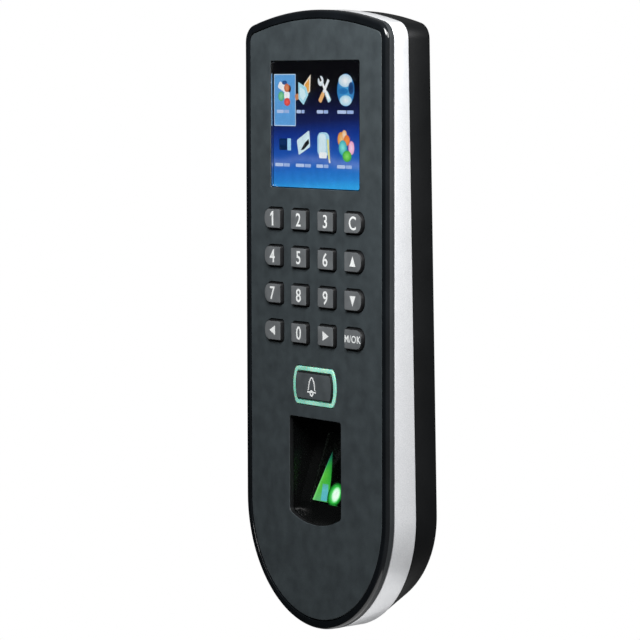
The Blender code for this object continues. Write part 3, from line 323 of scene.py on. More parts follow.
def solder_mask():
    """Green solder mask over copper: the traces show as lighter lines under the lacquer."""
    made, tree, shader = new_material("solder_mask", IOR=1.52, Coat_Weight=0.3)
    place = add(tree, "ShaderNodeTexCoord")
    turned = add(tree, "ShaderNodeMapping", {"Vector": place.outputs["Object"],
                                             "Rotation": (math.pi / 2, 0, 0)})
    traces = add(tree, "ShaderNodeTexBrick", {"Vector": turned.outputs["Vector"], "Scale": 160.0,
                                              "Mortar Size": 0.05, "Brick Width": 0.9,
                                              "Row Height": 0.22, "Color1": linear("#0d5a33"),
                                              "Color2": linear("#116a3d"),
                                              "Mortar": linear("#2c8f5b")})
    tree.links.new(traces.outputs["Color"], shader.inputs["Base Color"])
    tree.links.new(spread(tree, noise(tree, 1.0), 0.30, 0.42), shader.inputs["Roughness"])
    return made


def polyimide():
    """Amber polyimide film with copper tracks running along it."""
    made, tree, shader = new_material("polyimide_film", IOR=1.70, Transmission_Weight=0.1)
    place = add(tree, "ShaderNodeTexCoord")
    tracks = add(tree, "ShaderNodeTexWave", {"Vector": place.outputs["Object"], "Scale": 320.0,
                                             "Distortion": 0.0}, bands_direction="X")
    tree.links.new(mixed_colour(tree, tracks.outputs["Fac"], "#8f4c12", "#d07a26"),
                   shader.inputs["Base Color"])
    tree.links.new(spread(tree, noise(tree, 0.8), 0.28, 0.40), shader.inputs["Roughness"])
    return made


def clear_plastic(name, tint, rough, ior):
    """A clear moulded or polished pane with a trace of haze."""
    made, tree, shader = new_material(name, IOR=ior, Transmission_Weight=1.0)
    haze = noise(tree, 3.0, 3.0)
    tree.links.new(mixed_colour(tree, spread(tree, haze, 0.0, 1.0), tint[0], tint[1]),
                   shader.inputs["Base Color"])
    tree.links.new(spread(tree, haze, rough[0], rough[1]), shader.inputs["Roughness"])
    return made


def light_guide():
    """Milky mint light guide, lit from behind: it glows unevenly, brightest over its lamps."""
    made, tree, shader = new_material("milky_light_guide", IOR=1.49, Emission_Strength=0.28,
                                      Subsurface_Weight=0.3, Subsurface_Scale=0.001)
    glow = spread(tree, noise(tree, 9.0, 1.0), 0.0, 1.0)
    lit = mixed_colour(tree, glow, "#3c7a6a", "#6fae9c")
    tree.links.new(mixed_colour(tree, glow, "#74b09c", "#9accba"), shader.inputs["Base Color"])
    tree.links.new(lit, shader.inputs["Emission Color"])
    tree.links.new(spread(tree, noise(tree, 1.0), 0.25, 0.38), shader.inputs["Roughness"])
    return made


def printed_ink():
    """White pad-printed ink, a little uneven in its cover and faintly lit through the key."""
    made, tree, shader = new_material("white_printed_ink", IOR=1.5, Emission_Strength=0.10)
    cover = spread(tree, noise(tree, 0.4, 2.0), 0.0, 1.0)
    tree.links.new(mixed_colour(tree, cover, "#b8bbba", "#d4d6d6"), shader.inputs["Base Color"])
    tree.links.new(mixed_colour(tree, cover, "#d8dbda", "#f6f7f7"), shader.inputs["Emission Color"])
    tree.links.new(spread(tree, cover, 0.40, 0.55), shader.inputs["Roughness"])
    return made


def painted_light(name, strength):
    """Something lit whose colour is held point by point in the attribute named tint."""
    made, tree, shader = new_material(name, Emission_Strength=strength, Roughness=0.4)
    tint = add(tree, "ShaderNodeAttribute", attribute_name="tint")
    grid = noise(tree, 0.16, 0.0)
    dimmed = add(tree, "ShaderNodeVectorMath", {0: tint.outputs["Color"]}, operation="SCALE")
    tree.links.new(spread(tree, grid, 0.94, 1.06), dimmed.inputs["Scale"])
    tree.links.new(dimmed.outputs["Vector"], shader.inputs["Emission Color"])
    shader.inputs["Base Color"].default_value = linear("#050505")
    return made


def picture_background():
    """The display's picture: black above, then navy and royal blue, down to a bright azure, with
    faint curved streaks of light low on the left."""
    made, tree, shader = new_material("lit_display", Emission_Strength=1.0, Roughness=0.3)
    low, high = span("display_window", FACE)
    place = add(tree, "ShaderNodeTexCoord")
    parts = add(tree, "ShaderNodeSeparateXYZ", {"Vector": place.outputs["Object"]})
    bottom = (FACE @ Vector((0, low.y, low.z))).z
    top = (FACE @ Vector((0, high.y, low.z))).z
    up = add(tree, "ShaderNodeMapRange", {"Value": parts.outputs["Z"], "From Min": bottom,
                                          "From Max": top}).outputs["Result"]
    across = add(tree, "ShaderNodeMapRange", {"Value": parts.outputs["X"], "From Min": low.x,
                                              "From Max": high.x, "To Min": 0.03,
                                              "To Max": -0.03}).outputs["Result"]
    height = add(tree, "ShaderNodeMath", {0: up, 1: across}, operation="ADD").outputs["Value"]
    ramp = add(tree, "ShaderNodeValToRGB", {"Fac": height})
    stops = ((0.0, "#33a6ec"), (0.06, "#2b86d8"), (0.17, "#2368c4"), (0.30, "#1c50ae"),
             (0.42, "#15368e"), (0.53, "#141f54"), (0.66, "#0c1030"), (0.80, "#050509"))
    for place_at, code in stops[1:-1]:
        ramp.color_ramp.elements.new(place_at)
    for element, (place_at, code) in zip(ramp.color_ramp.elements, stops):
        element.position = place_at
        element.color = linear(code)
    swirl = add(tree, "ShaderNodeTexWave", {"Vector": place.outputs["Object"], "Scale": 26.0,
                                            "Distortion": 6.0, "Detail": 2.0, "Detail Scale": 0.6},
                wave_type="RINGS")
    fade = add(tree, "ShaderNodeMapRange", {"Value": height, "From Min": 0.12, "From Max": 0.42,
                                            "To Min": 0.10, "To Max": 0.0}).outputs["Result"]
    streak = add(tree, "ShaderNodeMath", {0: swirl.outputs["Fac"], 1: 6.0}, operation="POWER")
    faint = add(tree, "ShaderNodeMath", {0: streak.outputs["Value"], 1: fade}, operation="MULTIPLY")
    lit = add(tree, "ShaderNodeVectorMath", {0: ramp.outputs["Color"],
                                             1: faint.outputs["Value"]}, operation="ADD")
    tree.links.new(lit.outputs["Vector"], shader.inputs["Emission Color"])
    shader.inputs["Base Color"].default_value = linear("#020203")
    return made


SILVER = silver_lacquer()
ZINC = zinc_plate()
COPPER = copper_wire()
SOLDER_MASK = solder_mask()
POLYIMIDE = polyimide()
# Polished clear acrylic over the display
ACRYLIC = clear_plastic("clear_acrylic", ("#f2f4f6", "#ffffff"), (0.01, 0.03), 1.49)
# Optical glass that the finger touches
OPTICAL_GLASS = clear_plastic("optical_glass", ("#cfe6d6", "#e2f2e6"), (0.01, 0.03), 1.52)
LIGHT_GUIDE = light_guide()
INK = printed_ink()
LIT_PICTURE = picture_background()
ICON_LIGHT = painted_light("icon_light", 1.0)
LAMP_LIGHT = painted_light("green_lamp_light", 1.35)


# Outlines: lists of (x, y) points, anticlockwise


def arc(centre, radius, start, end, steps, stretch=1.0):
    """Points of an arc between two angles in degrees; stretch scales its height."""
    angles = [math.radians(start + (end - start) * step / steps) for step in range(steps + 1)]
    return [(centre[0] + radius * math.cos(angle), centre[1] + radius * stretch * math.sin(angle))
            for angle in angles]


def arched_end(half_width, peak, radius, corner, steps, corner_steps):
    """The upper end of a shape, right to left: corner, shallow arch, corner."""
    arch_base = peak - radius
    rise = math.sqrt((radius - corner) ** 2 - (half_width - corner) ** 2)
    turn = math.degrees(math.atan2(rise, half_width - corner))
    height = arch_base + rise
    right = arc((half_width - corner, height), corner, 0, turn, corner_steps)
    top = arc((0, arch_base), radius, turn, 180 - turn, steps)
    left = arc((corner - half_width, height), corner, 180 - turn, 180, corner_steps)
    return right[:-1] + top + left[1:]


def straight(start, end, steps):
    """Points from start towards end, without either end."""
    (x, y), (end_x, end_y) = start, end
    return [(x + (end_x - x) * step / steps, y + (end_y - y) * step / steps) for step in range(1, steps)]


def terminal_outline(inset, bottom_rise=0.0):
    """The terminal's outline, drawn in by inset; bottom_rise lifts its lowest point further."""
    half = HALF_WIDTH - inset
    corner = max(TOP_CORNER_RADIUS - inset, SMALLEST_CORNER)
    top = arched_end(half, HALF_HEIGHT - inset, TOP_ARCH_RADIUS - inset, corner, 28, 12)
    bowl = arc((0, BOWL_CENTRE), half, 180, 360, 96, 1 - bottom_rise / half)
    return top + straight(top[-1], bowl[0], 8) + bowl + straight(bowl[-1], top[0], 8)


def rounded_outline(width, height, radii, centre=(0, 0), steps=6):
    """A rectangle with a corner radius each for upper right, upper left, lower left, lower right."""
    signs = ((1, 1), (-1, 1), (-1, -1), (1, -1))
    points = []
    for index, ((right, up), radius) in enumerate(zip(signs, radii)):
        turn = (centre[0] + right * (width / 2 - radius), centre[1] + up * (height / 2 - radius))
        points += arc(turn, radius, 90 * index, 90 * index + 90, steps)
    return points


def rectangle(low, high, corner, inset=0.0):
    """A rounded rectangle between two corners, drawn in by inset."""
    radius = max(corner - inset, 0.00005)
    return rounded_outline(high[0] - low[0] - 2 * inset, high[1] - low[1] - 2 * inset, (radius,) * 4,
                           ((low[0] + high[0]) / 2, (low[1] + high[1]) / 2))


def circle(diameter, centre=(0, 0), steps=48):
    """A circle as a regular outline."""
    return arc(centre, diameter / 2, 0, 360 - 360 / steps, steps - 1)


def ring_outline(inset):
    """The doorbell ring: straight long sides and bowed ends."""
    half_width = RING_HIGH.x - inset
    half_height = (RING_HIGH.y - RING_LOW.y) / 2 - inset
    corner = max(RING_CORNER - inset, SMALLEST_CORNER)
    bow = RING_END_RADIUS - inset
    reach = math.sqrt((bow - corner) ** 2 - (half_height - corner) ** 2)
    turn = math.degrees(math.atan2(half_height - corner, reach))
    corner_centre = (half_width - bow + reach, half_height - corner)
    end = arc((half_width - bow, 0), bow, 0, turn, 8)[:-1] + arc(corner_centre, corner, turn, 90, 8)
    upper = end + [(-x, y) for x, y in reversed(end)]
    lower = [(x, -y) for x, y in reversed(upper[1:-1])]
    centre = (RING_HIGH.y + RING_LOW.y) / 2
    return [(x, y + centre) for x, y in upper + lower]


def well_outline(inset):
    """The opening of the fingerprint well: square above, a shallow bowl below."""
    half = WELL_HALF_WIDTH - inset
    corner = max(WELL_CORNER - inset, SMALLEST_CORNER)
    top_corner = max(WELL_TOP_CORNER - inset, SMALLEST_CORNER)
    bowl = arched_end(half, -WELL_BOTTOM - inset, WELL_ARCH_RADIUS - inset, corner, 24, 10)
    bowl = [(-x, -y) for x, y in bowl]
    top = WELL_TOP - inset - top_corner
    right = arc((half - top_corner, top), top_corner, 0, 90, 6)
    left = arc((top_corner - half, top), top_corner, 90, 180, 6)
    return right + left + straight(left[-1], bowl[0], 30) + bowl + straight(bowl[-1], right[0], 30)


def key_outline(column, low, high, inset):
    """A key's outline on the face: the outer columns have one rounded end."""
    small = max(KEY_CORNER - inset, SMALLEST_CORNER / 2)
    large = KEY_ROUND_END - inset
    right = large if column == 3 else small
    left = large if column == 0 else small
    return rounded_outline(high[0] - low[0] - 2 * inset, high[1] - low[1] - 2 * inset,
                           (right, left, left, right),
                           ((low[0] + high[0]) / 2, (low[1] + high[1]) / 2), 10)


# Meshes: skins over rings of points, closed by flat caps


def at(matrix, outline, height):
    """An outline lifted to a height in a frame, in world coordinates."""
    return [matrix @ Vector((x, y, height)) for x, y in outline]


def rounded_edge(matrix, outline, inset, height, radius, way=1, steps=4):
    """Rings that round an outer edge from the side on to the flat, ending with a support ring."""
    rings = []
    for step in range(steps + 1):
        turn = math.pi / 2 * step / steps
        rings.append(at(matrix, outline(inset + radius * (1 - math.cos(turn))),
                        height - way * radius * (1 - math.sin(turn))))
    rings.append(at(matrix, outline(inset + radius * 1.25), height))
    return rings


def skin(shape, rings, looped=False, caps=(True, True), finish=0):
    """Adds a skin over rings of equally many points, with a cap at either end."""
    rows = [[shape.verts.new(point) for point in ring] for ring in rings]
    pairs = list(zip(rows, rows[1:])) + ([(rows[-1], rows[0])] if looped else [])
    for low, high in pairs:
        for step in range(len(low)):
            after = (step + 1) % len(low)
            shape.faces.new((low[step], low[after], high[after], high[step])).material_index = finish
    for row, wanted in zip((rows[0][::-1], rows[-1]), caps):
        if wanted and not looped:
            shape.faces.new(row).material_index = finish
    return rows


def fill(shape, rows, finish=0):
    """Closes the flat space between closed rows of vertices, such as an outline and its holes."""
    edges = []
    for row in rows:
        for step in range(len(row)):
            pair = (row[step], row[(step + 1) % len(row)])
            edges.append(shape.edges.get(pair) or shape.edges.new(pair))
    made = bmesh.ops.triangle_fill(shape, edges=edges, use_beauty=True)["geom"]
    for face in made:
        if isinstance(face, bmesh.types.BMFace):
            face.material_index = finish


def to_object(name, shape, finishes=(), smooth=30):
    """A plain object from a closed shape, its faces turned outwards and its curves smooth."""
    bmesh.ops.remove_doubles(shape, verts=shape.verts, dist=0.0000005)
    bmesh.ops.recalc_face_normals(shape, faces=shape.faces)
    mesh = bpy.data.meshes.new(name)
    shape.to_mesh(mesh)
    shape.free()
    for finish in finishes:
        mesh.materials.append(finish)
    mesh.shade_smooth()
    mesh.set_sharp_from_angle(angle=math.radians(smooth))
    made = bpy.data.objects.new(name, mesh)
    bpy.context.scene.collection.objects.link(made)
    return made


def settle(made, body, slot, *replaced):
    """Puts a finished piece on its body, in the place of its CAD nodes; slot is not used."""
    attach(made, body)
    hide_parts(*replaced)
    return made


def carve(target, shape, operation="DIFFERENCE", smooth=30):
    """Cuts or joins a shape with an exact Boolean, and keeps the result as the target's mesh."""
    helper = to_object("helper", shape, target.data.materials[:1])
    boolean = target.modifiers.new("carve", "BOOLEAN")
    boolean.operation = operation
    boolean.solver = "EXACT"
    boolean.object = helper
    apply_modifiers(target, smooth)
    bpy.data.objects.remove(helper)


def apply_modifiers(target, smooth=30):
    """Turns an object's modifiers into its plain mesh."""
    evaluated = target.evaluated_get(bpy.context.evaluated_depsgraph_get())
    mesh = bpy.data.meshes.new_from_object(evaluated)
    target.modifiers.clear()
    target.data = mesh
    mesh.shade_smooth()
    mesh.set_sharp_from_angle(angle=math.radians(smooth))


def prism_of(outline, low, high, matrix):
    """A shape with straight sides between two heights."""
    shape = bmesh.new()
    skin(shape, [at(matrix, outline, low), at(matrix, outline, high)])
    return shape


def soft_slab(name, outline, low, high, edge, matrix, finishes, steps=3):
    """A flat piece with rounded upper and lower edges; outline takes an inset."""
    shape = bmesh.new()
    below = rounded_edge(matrix, outline, 0, low, edge, -1, steps)[::-1]
    above = rounded_edge(matrix, outline, 0, high, edge, 1, steps)
    skin(shape, below + above)
    return to_object(name, shape, finishes)


def flat_shape(shape, outline, low, high, matrix, finish=0):
    """Adds a thin flat closed shape with any outline, also a hollow-sided one."""
    rows = skin(shape, [at(matrix, outline, low), at(matrix, outline, high)],
                caps=(False, False), finish=finish)
    fill(shape, [rows[0]], finish)
    fill(shape, [rows[1]], finish)


# Front: rim, plate, display, keys, bell


def front_frame():
    """The glossy rim, its matt side, the ledge behind the plate and the bosses for the screws."""
    shape = bmesh.new()
    side_top = -FRAME_ROUNDING - 0.00015
    lower = rounded_edge(FACE, terminal_outline, 0, -FRAME_DEPTH, 0.00012, -1, 2)[::-1]
    skin(shape, lower + [at(FACE, terminal_outline(0), side_top)], caps=(False, False), finish=1)
    rings = [at(FACE, terminal_outline(0), side_top)]
    rings += rounded_edge(FACE, terminal_outline, 0, 0, FRAME_ROUNDING, 1, 9)
    inner = [at(FACE, terminal_outline(FRAME_RIM - inset), height)
             for inset, height in ((0.00035, 0), (0.00015, 0), (0.00004, -0.00004), (0, -0.00015))]
    rings += inner + [at(FACE, terminal_outline(FRAME_RIM), LEDGE_FRONT),
                      at(FACE, terminal_outline(FRAME_LEDGE_REACH), LEDGE_FRONT),
                      at(FACE, terminal_outline(FRAME_LEDGE_REACH), -FRAME_DEPTH),
                      lower[0]]
    skin(shape, rings, caps=(False, False))
    made = to_object("front_rim", shape, (GLOSS_ABS, BLASTED_ABS), 35)
    for index in range(4):
        x, v = middle(f"case_screw_{index + 1}", WALL).xy
        top = (WALL.inverted() @ FACE @ Vector((x, v, LEDGE_FRONT - 0.0002))).z
        carve(made, prism_of(circle(CASE_BOSS, (x, v), 40), WEB_FRONT + GAP, top, WALL), "UNION", 35)
        hole = circle(CASE_SCREW_HOLE, (x, v), 32)
        carve(made, prism_of(hole, 0, CASE_SCREW_HOLE_END, WALL), smooth=35)
    settle(made, "housing", "gloss_black", "front_frame")


def key_spans():
    """Each key's name, column, and the corners of its cap on the face, without its retainer."""
    reach = Vector((RETAINER_REACH, RETAINER_REACH, 0))
    found = []
    for row in KEYS:
        for column, name in enumerate(row):
            low, high = span(name, FACE)
            found.append((name, column, low + reach, high - reach))
    return found


def face_plate():
    """The matt plate: every opening has a fine broken edge, and its walls are near black with painted shade."""
    edge = 0.00015
    openings = [lambda inset: rectangle(*window_corners(), 0.0008, inset),
                lambda inset: ring_outline(inset - GAP), well_outline]
    for _, column, low, high in key_spans():
        openings.append(lambda inset, c=column, a=low, b=high: key_outline(c, a, b, inset - GAP))
    shape = bmesh.new()
    outer = FRAME_RIM + GAP
    border = [at(FACE, terminal_outline(outer), PLATE_BACK)]
    border += rounded_edge(FACE, terminal_outline, outer, PLATE_FRONT, 0.0003, 1, 4)
    rows = skin(shape, border, caps=(False, False))
    tops, bottoms = [rows[-1]], [rows[0]]
    for opening in openings:
        # The opening walls take the near-black painted shade (finish 1)
        wall = [at(FACE, opening(0), height) for height in (PLATE_BACK, PLATE_FRONT - edge)]
        bottoms.append(skin(shape, wall, caps=(False, False), finish=1)[0])
        rings = []
        for step in range(4):
            turn = math.pi / 2 * step / 3
            rings.append(at(FACE, opening(-edge * (1 - math.cos(turn))),
                            PLATE_FRONT - edge * (1 - math.sin(turn))))
        rings.append(at(FACE, opening(-edge * 1.6), PLATE_FRONT))
        tops.append(skin(shape, rings, caps=(False, False))[-1])
    fill(shape, tops)
    fill(shape, bottoms)
    made = to_object("matt_front_plate", shape, (ERODED_ABS, SHADED_SIDE_BLACK))
    settle(made, "housing", "matt_black", "face_plate")


def window_corners():
    """The display opening's corners on the face."""
    low, high = span("display_window", FACE)
    return (low.x - GAP, low.y - GAP), (high.x + GAP, high.y + GAP)


def display_window():
    """The clear pane, with a fine polished edge."""
    low, high = span("display_window", FACE)
    made = soft_slab("clear_display_pane", lambda inset: rectangle(low, high, 0.0008, inset),
                     low.z, high.z, 0.00015, FACE, (ACRYLIC,))
    settle(made, "housing", "window", "display_window")


def display_module():
    """The display: a folded steel tray, the black border and the lit picture; the icons are made apart."""
    low, high = span("lcd_module", FACE)
    tray = soft_slab("display_tray", lambda inset: rectangle(low, high, 0.0006, inset),
                     low.z, high.z - 0.00030, 0.0002, FACE, (ZINC,))
    settle(tray, "housing", "zinc_steel")
    border = soft_slab("display_border", lambda inset: rectangle(low, high, 0.0006, inset + 0.0003),
                       high.z - 0.00028, high.z - 0.00012, 0.00004, FACE, (EPOXY,))
    settle(border, "housing", "display", "lcd_module")
    glass = (PICTURE_LOW, PICTURE_HIGH)
    screen = soft_slab("display_picture", lambda inset: rectangle(*glass, 0.0003, inset),
                       high.z - 0.00011, high.z - 0.00006, 0.00001, FACE, (LIT_PICTURE,))
    settle(screen, "housing", "display")


PICTURE_LOW = (-0.0256, window_corners()[0][1] + 0.0002)
PICTURE_HIGH = (0.0252, window_corners()[1][1] - 0.0002)
PICTURE_FRONT = span("lcd_module", FACE)[1].z - 0.00006


def painted_shapes(name, material_used, base, slot, shapes, matrix=FACE):
    """Thin lit shapes in one mesh. Each is (outline, colours, layer): one hex colour, or two for a
    glow from the middle to the edge."""
    shape = bmesh.new()
    tint = shape.verts.layers.float_color.new("tint")
    for outline, colours, layer in shapes:
        height = base + 0.00002 * layer
        edge = linear(colours[-1])
        hub = linear(colours[0])
        centre = (sum(x for x, y in outline) / len(outline), sum(y for x, y in outline) / len(outline))
        rows = skin(shape, [at(matrix, outline, height), at(matrix, outline, height + 0.00001)],
                    caps=(len(colours) == 1, False))
        for row in rows:
            for vertex in row:
                vertex[tint] = edge
        if len(colours) == 1:
            shape.faces.new(rows[1])
            continue
        for row, lift, turn in ((rows[0], 0, -1), (rows[1], 0.00001, 1)):
            hub_vertex = shape.verts.new(matrix @ Vector((*centre, height + lift)))
            hub_vertex[tint] = hub
            for step in range(len(row)):
                pair = (row[step], row[(step + 1) % len(row)])[::turn]
                shape.faces.new((*pair, hub_vertex))
    made = to_object(name, shape, (material_used,))
    return settle(made, "housing", slot)


def box_at(x, v, width, height, turn=0.0, corner=0.0):
    """A small rectangle about a point, turned by some degrees."""
    if corner:
        points = rounded_outline(width, height, (corner,) * 4, (0, 0), 4)
    else:
        points = [(width / 2, height / 2), (-width / 2, height / 2), (-width / 2, -height / 2),
                  (width / 2, -height / 2)]
    cosine, sine = math.cos(math.radians(turn)), math.sin(math.radians(turn))
    return [(x + px * cosine - py * sine, v + px * sine + py * cosine) for px, py in points]


def disc_at(x, v, width, height, steps=28):
    """A small ellipse about a point."""
    return arc((x, v), width / 2, 0, 360 - 360 / steps, steps - 1, height / width)


def display_icons():
    """Eight generic menu icons in two rows, the first on its lit tile, with plain bars for labels."""
    top = window_corners()[1][1]
    shapes = [(box_at(-0.0187, top - 0.01305, 0.0127, 0.0173, 0, 0.0002), ["#bcd8f2"], 0),
              (box_at(-0.0187, top - 0.01305, 0.0121, 0.0167), ["#5ea2e0"], 1)]
    layout = ((person_icon, -0.0190, 0.0104, 1.0, 0.78), (folder_icon, -0.0072, 0.0097, 0.97, 0.88),
              (tools_icon, 0.0046, 0.0095, 0.81, 0.72), (globe_icon, 0.0164, 0.0097, 1.02, 0.95),
              (reader_icon, -0.0189, 0.0278, 0.81, 1.0), (card_icon, -0.0076, 0.0273, 1.0, 0.91),
              (note_icon, 0.0041, 0.0278, 1.0, 0.82), (beads_icon, 0.0162, 0.0278, 1.0, 0.80))
    for icon, x, below, across, upright in layout:
        for outline, colours, layer in icon():
            moved = [(x + px * across, top - below + pv * upright) for px, pv in outline]
            shapes.append((moved, colours, layer))
    labels = ((-0.0197, 0.01685, 0.0072), (-0.0094, 0.01685, 0.0046), (0.0033, 0.01685, 0.0064),
              (0.0163, 0.01685, 0.0090), (-0.0201, 0.03465, 0.0086), (-0.0078, 0.03465, 0.0088),
              (0.0032, 0.03465, 0.0068), (0.0157, 0.03465, 0.0082))
    for x, below, width in labels:
        shapes += label_bars(x, top - below, width)
    painted_shapes("display_icons", ICON_LIGHT, PICTURE_FRONT + 0.00001, "display", shapes)


def label_bars(x, v, width):
    """A label as two plain pale bars."""
    left = box_at(x - width * 0.22 - 0.0001, v, width * 0.56, 0.0011, 0, 0.0003)
    right = box_at(x + width * 0.28 + 0.0001, v, width * 0.44 - 0.0003, 0.0011, 0, 0.0003)
    return [(left, ["#b9cdf0"], 2), (right, ["#9fb8e6"], 2)]


def person_icon():
    """Two overlapping counters and a figure of plain blobs."""
    return [(disc_at(-0.0018, -0.0018, 0.0036, 0.0042), ["#8fd6a0", "#4fae7a"], 2),
            (box_at(-0.0006, 0.0020, 0.0060, 0.0030, -28, 0.0008), ["#f4f6f8"], 2),
            (disc_at(0.0002, 0.0040, 0.0030, 0.0018), ["#2f5f9e", "#1d4a86"], 3),
            (disc_at(0.0016, 0.0018, 0.0032, 0.0036), ["#e59a6a", "#c8623c"], 4),
            (disc_at(0.0030, 0.0014, 0.0020, 0.0030), ["#2a1c18", "#3a2a24"], 3),
            (box_at(0.0016, -0.0014, 0.0032, 0.0034, 0, 0.0010), ["#f8fafc"], 3),
            (disc_at(0.0018, -0.0042, 0.0036, 0.0034), ["#ff6a5c", "#d23a38"], 5)]


def folder_icon():
    """A pale blue folder with an orange sheet standing out of it."""
    return [([(0.0034, -0.0006), (0.0038, 0.0058), (-0.0002, 0.0022), (-0.0006, -0.0030)],
             ["#f3e7cf"], 2),
            ([(0.0028, -0.0004), (0.0030, 0.0044), (0.0004, 0.0020), (0.0002, -0.0026)], ["#f0a94a"], 3),
            ([(0.0024, -0.0018), (0.0012, 0.0010), (-0.0036, 0.0030), (-0.0034, -0.0034),
              (-0.0004, -0.0056)], ["#a9dff0"], 4),
            ([(0.0010, -0.0022), (0.0002, 0.0000), (-0.0026, 0.0012), (-0.0024, -0.0026),
              (-0.0006, -0.0040)], ["#d8f4fb"], 5),
            (box_at(-0.0044, -0.0026, 0.0022, 0.0022, 20, 0.0005), ["#d08a5c"], 3)]


def tools_icon():
    """A crossed spanner and screwdriver."""
    return [(box_at(-0.0002, -0.0002, 0.0015, 0.0108, -32), ["#e9eff4"], 2),
            (box_at(0.0022, -0.0034, 0.0024, 0.0050, 32, 0.0006), ["#bfe6f4"], 3),
            (box_at(0.0, 0.0002, 0.0013, 0.0110, 32), ["#f6f8fa"], 4),
            (disc_at(-0.0028, 0.0038, 0.0040, 0.0046), ["#ffffff", "#cfdde6"], 5),
            (box_at(-0.0034, 0.0050, 0.0013, 0.0030, 32), ["#02040a"], 6),
            (box_at(-0.0022, -0.0036, 0.0023, 0.0050, -34, 0.0006), ["#f0b878"], 5)]


def globe_icon():
    """A globe with a pale cap above and below and plain patches of land."""
    return [(disc_at(0, 0, 0.0094, 0.0112, 40), ["#4fa8dc", "#2f7fc2"], 2),
            (disc_at(-0.0002, 0.0032, 0.0074, 0.0044), ["#ffffff", "#b8d8ea"], 3),
            (disc_at(0, -0.0036, 0.0066, 0.0036), ["#f4fcff", "#a8d8ec"], 3),
            (disc_at(-0.0014, -0.0004, 0.0056, 0.0022), ["#1c6cb0", "#2a7cbc"], 4),
            (disc_at(0.0030, 0.0006, 0.0030, 0.0042), ["#16335e", "#1f4f8c"], 5)]


def reader_icon():
    """A dark box with a pale blue end."""
    return [(box_at(-0.0010, 0, 0.0056, 0.0038, 0, 0.0004), ["#06264e"], 2),
            (box_at(-0.0010, 0.0006, 0.0044, 0.0018), ["#0a3064"], 3),
            (box_at(0.0034, 0, 0.0026, 0.0040, 0, 0.0003), ["#a8dcf6"], 3)]


def card_icon():
    """A tilted white card with a black patch."""
    return [([(0.0032, 0.0044), (0.0028, 0.0046), (-0.0038, 0.0012), (-0.0040, 0.0006),
              (-0.0030, -0.0040), (-0.0026, -0.0042), (0.0034, -0.0014), (0.0037, -0.0008)],
             ["#d6f0f6"], 2),
            ([(0.0028, 0.0016), (0.0006, 0.0002), (-0.0018, -0.0026), (0.0002, -0.0022),
              (0.0032, 0.0)], ["#0c1014"], 3)]


def note_icon():
    """A curled sheet with a yellow pencil."""
    return [(box_at(-0.0004, 0.0004, 0.0068, 0.0096, 0, 0.0024), ["#a9d8ee"], 2),
            (box_at(-0.0010, 0.0006, 0.0040, 0.0080, 0, 0.0016), ["#d8f0f8"], 3),
            (box_at(-0.0006, -0.0040, 0.0044, 0.0024, 0, 0.0006), ["#f6fafc"], 4),
            (box_at(0.0026, -0.0016, 0.0010, 0.0080, 6), ["#e8e48c"], 5),
            (box_at(0.0032, -0.0062, 0.0008, 0.0016, 14), ["#f4efe0"], 6)]


def beads_icon():
    """A cluster of coloured beads."""
    return [(disc_at(-0.0024, 0.0026, 0.0040, 0.0060), ["#ffd08a", "#e08a2c"], 2),
            (disc_at(-0.0006, 0.0044, 0.0028, 0.0040), ["#fff0d8", "#f2b070"], 3),
            (disc_at(0.0008, 0.0022, 0.0034, 0.0044), ["#ff9c50", "#e8742c"], 4),
            (disc_at(-0.0014, -0.0008, 0.0046, 0.0062), ["#8ff0e4", "#2fa8b8"], 5),
            (disc_at(0.0034, -0.0008, 0.0032, 0.0056), ["#ffe0f4", "#f0a0c8"], 5),
            (disc_at(0.0010, -0.0042, 0.0050, 0.0046), ["#8fe86a", "#3fae3c"], 6)]


def text_shape(words, size, centre, height):
    """A flat printed word as a closed mesh, thickened and placed on the face."""
    curve = bpy.data.curves.new("legend", "FONT")
    curve.body = words
    curve.size = size
    curve.align_x = "CENTER"
    curve.align_y = "CENTER"
    curve.extrude = 0.00001
    curve.offset = size * 0.010
    curve.space_character = 1.0 if len(words) == 1 else 1.12
    curve.resolution_u = 4
    holder = bpy.data.objects.new("legend", curve)
    bpy.context.scene.collection.objects.link(holder)
    bpy.context.view_layer.update()
    mesh = bpy.data.meshes.new_from_object(holder.evaluated_get(bpy.context.evaluated_depsgraph_get()))
    xs = [vertex.co.x for vertex in mesh.vertices]
    ys = [vertex.co.y for vertex in mesh.vertices]
    shift = Vector((-(min(xs) + max(xs)) / 2, -(min(ys) + max(ys)) / 2, 0))
    mesh.transform(FACE @ Matrix.Translation((*centre, height)) @ Matrix.Translation(shift))
    bpy.data.objects.remove(holder)
    bpy.data.curves.remove(curve)
    return mesh


def retainer(outline, bottom):
    """Rings of a cap's lower end: the lip that holds it behind the plate, then the cap itself."""
    lip = outline(-RETAINER_REACH)
    return [at(FACE, lip, bottom), at(FACE, lip, RETAINER_TOP), at(FACE, outline(0), RETAINER_TOP)]


def key_piece(name, column, low, high):
    """A key: retainer, drafted skirt and soft edge in near-black painted shade, and a slightly crowned grey
    face.
    """
    def outline(inset):
        return key_outline(column, low, high, inset)

    top = high.z
    shape = bmesh.new()
    rings = retainer(outline, low.z) + [at(FACE, outline(0), PLATE_FRONT)]
    steps = 4
    for step in range(steps + 1):
        turn = math.pi / 2 * step / steps
        rings.append(at(FACE, outline(KEY_DRAFT + KEY_EDGE * 0.62 * (1 - math.cos(turn))),
                        top - 0.00006 - KEY_EDGE * (1 - math.sin(turn))))
    # The retainer, skirt and soft edge are near black: painted shade on the key's sides
    skin(shape, rings, caps=(True, False), finish=1)
    crown = [at(FACE, outline(KEY_DRAFT + KEY_EDGE * share), top - drop)
             for share, drop in ((0.62, 0.00006), (0.8, 0.00005), (2.2, 0.00002), (4.0, 0))]
    skin(shape, crown, caps=(False, True))
    made = to_object(name.replace("key", "keycap"), shape, (KEY_PC, SHADED_SIDE_BLACK, INK))
    add_print(made, key_legend(name, low, high, top))
    settle(made, f"{name}_body", "key_plastic", name)


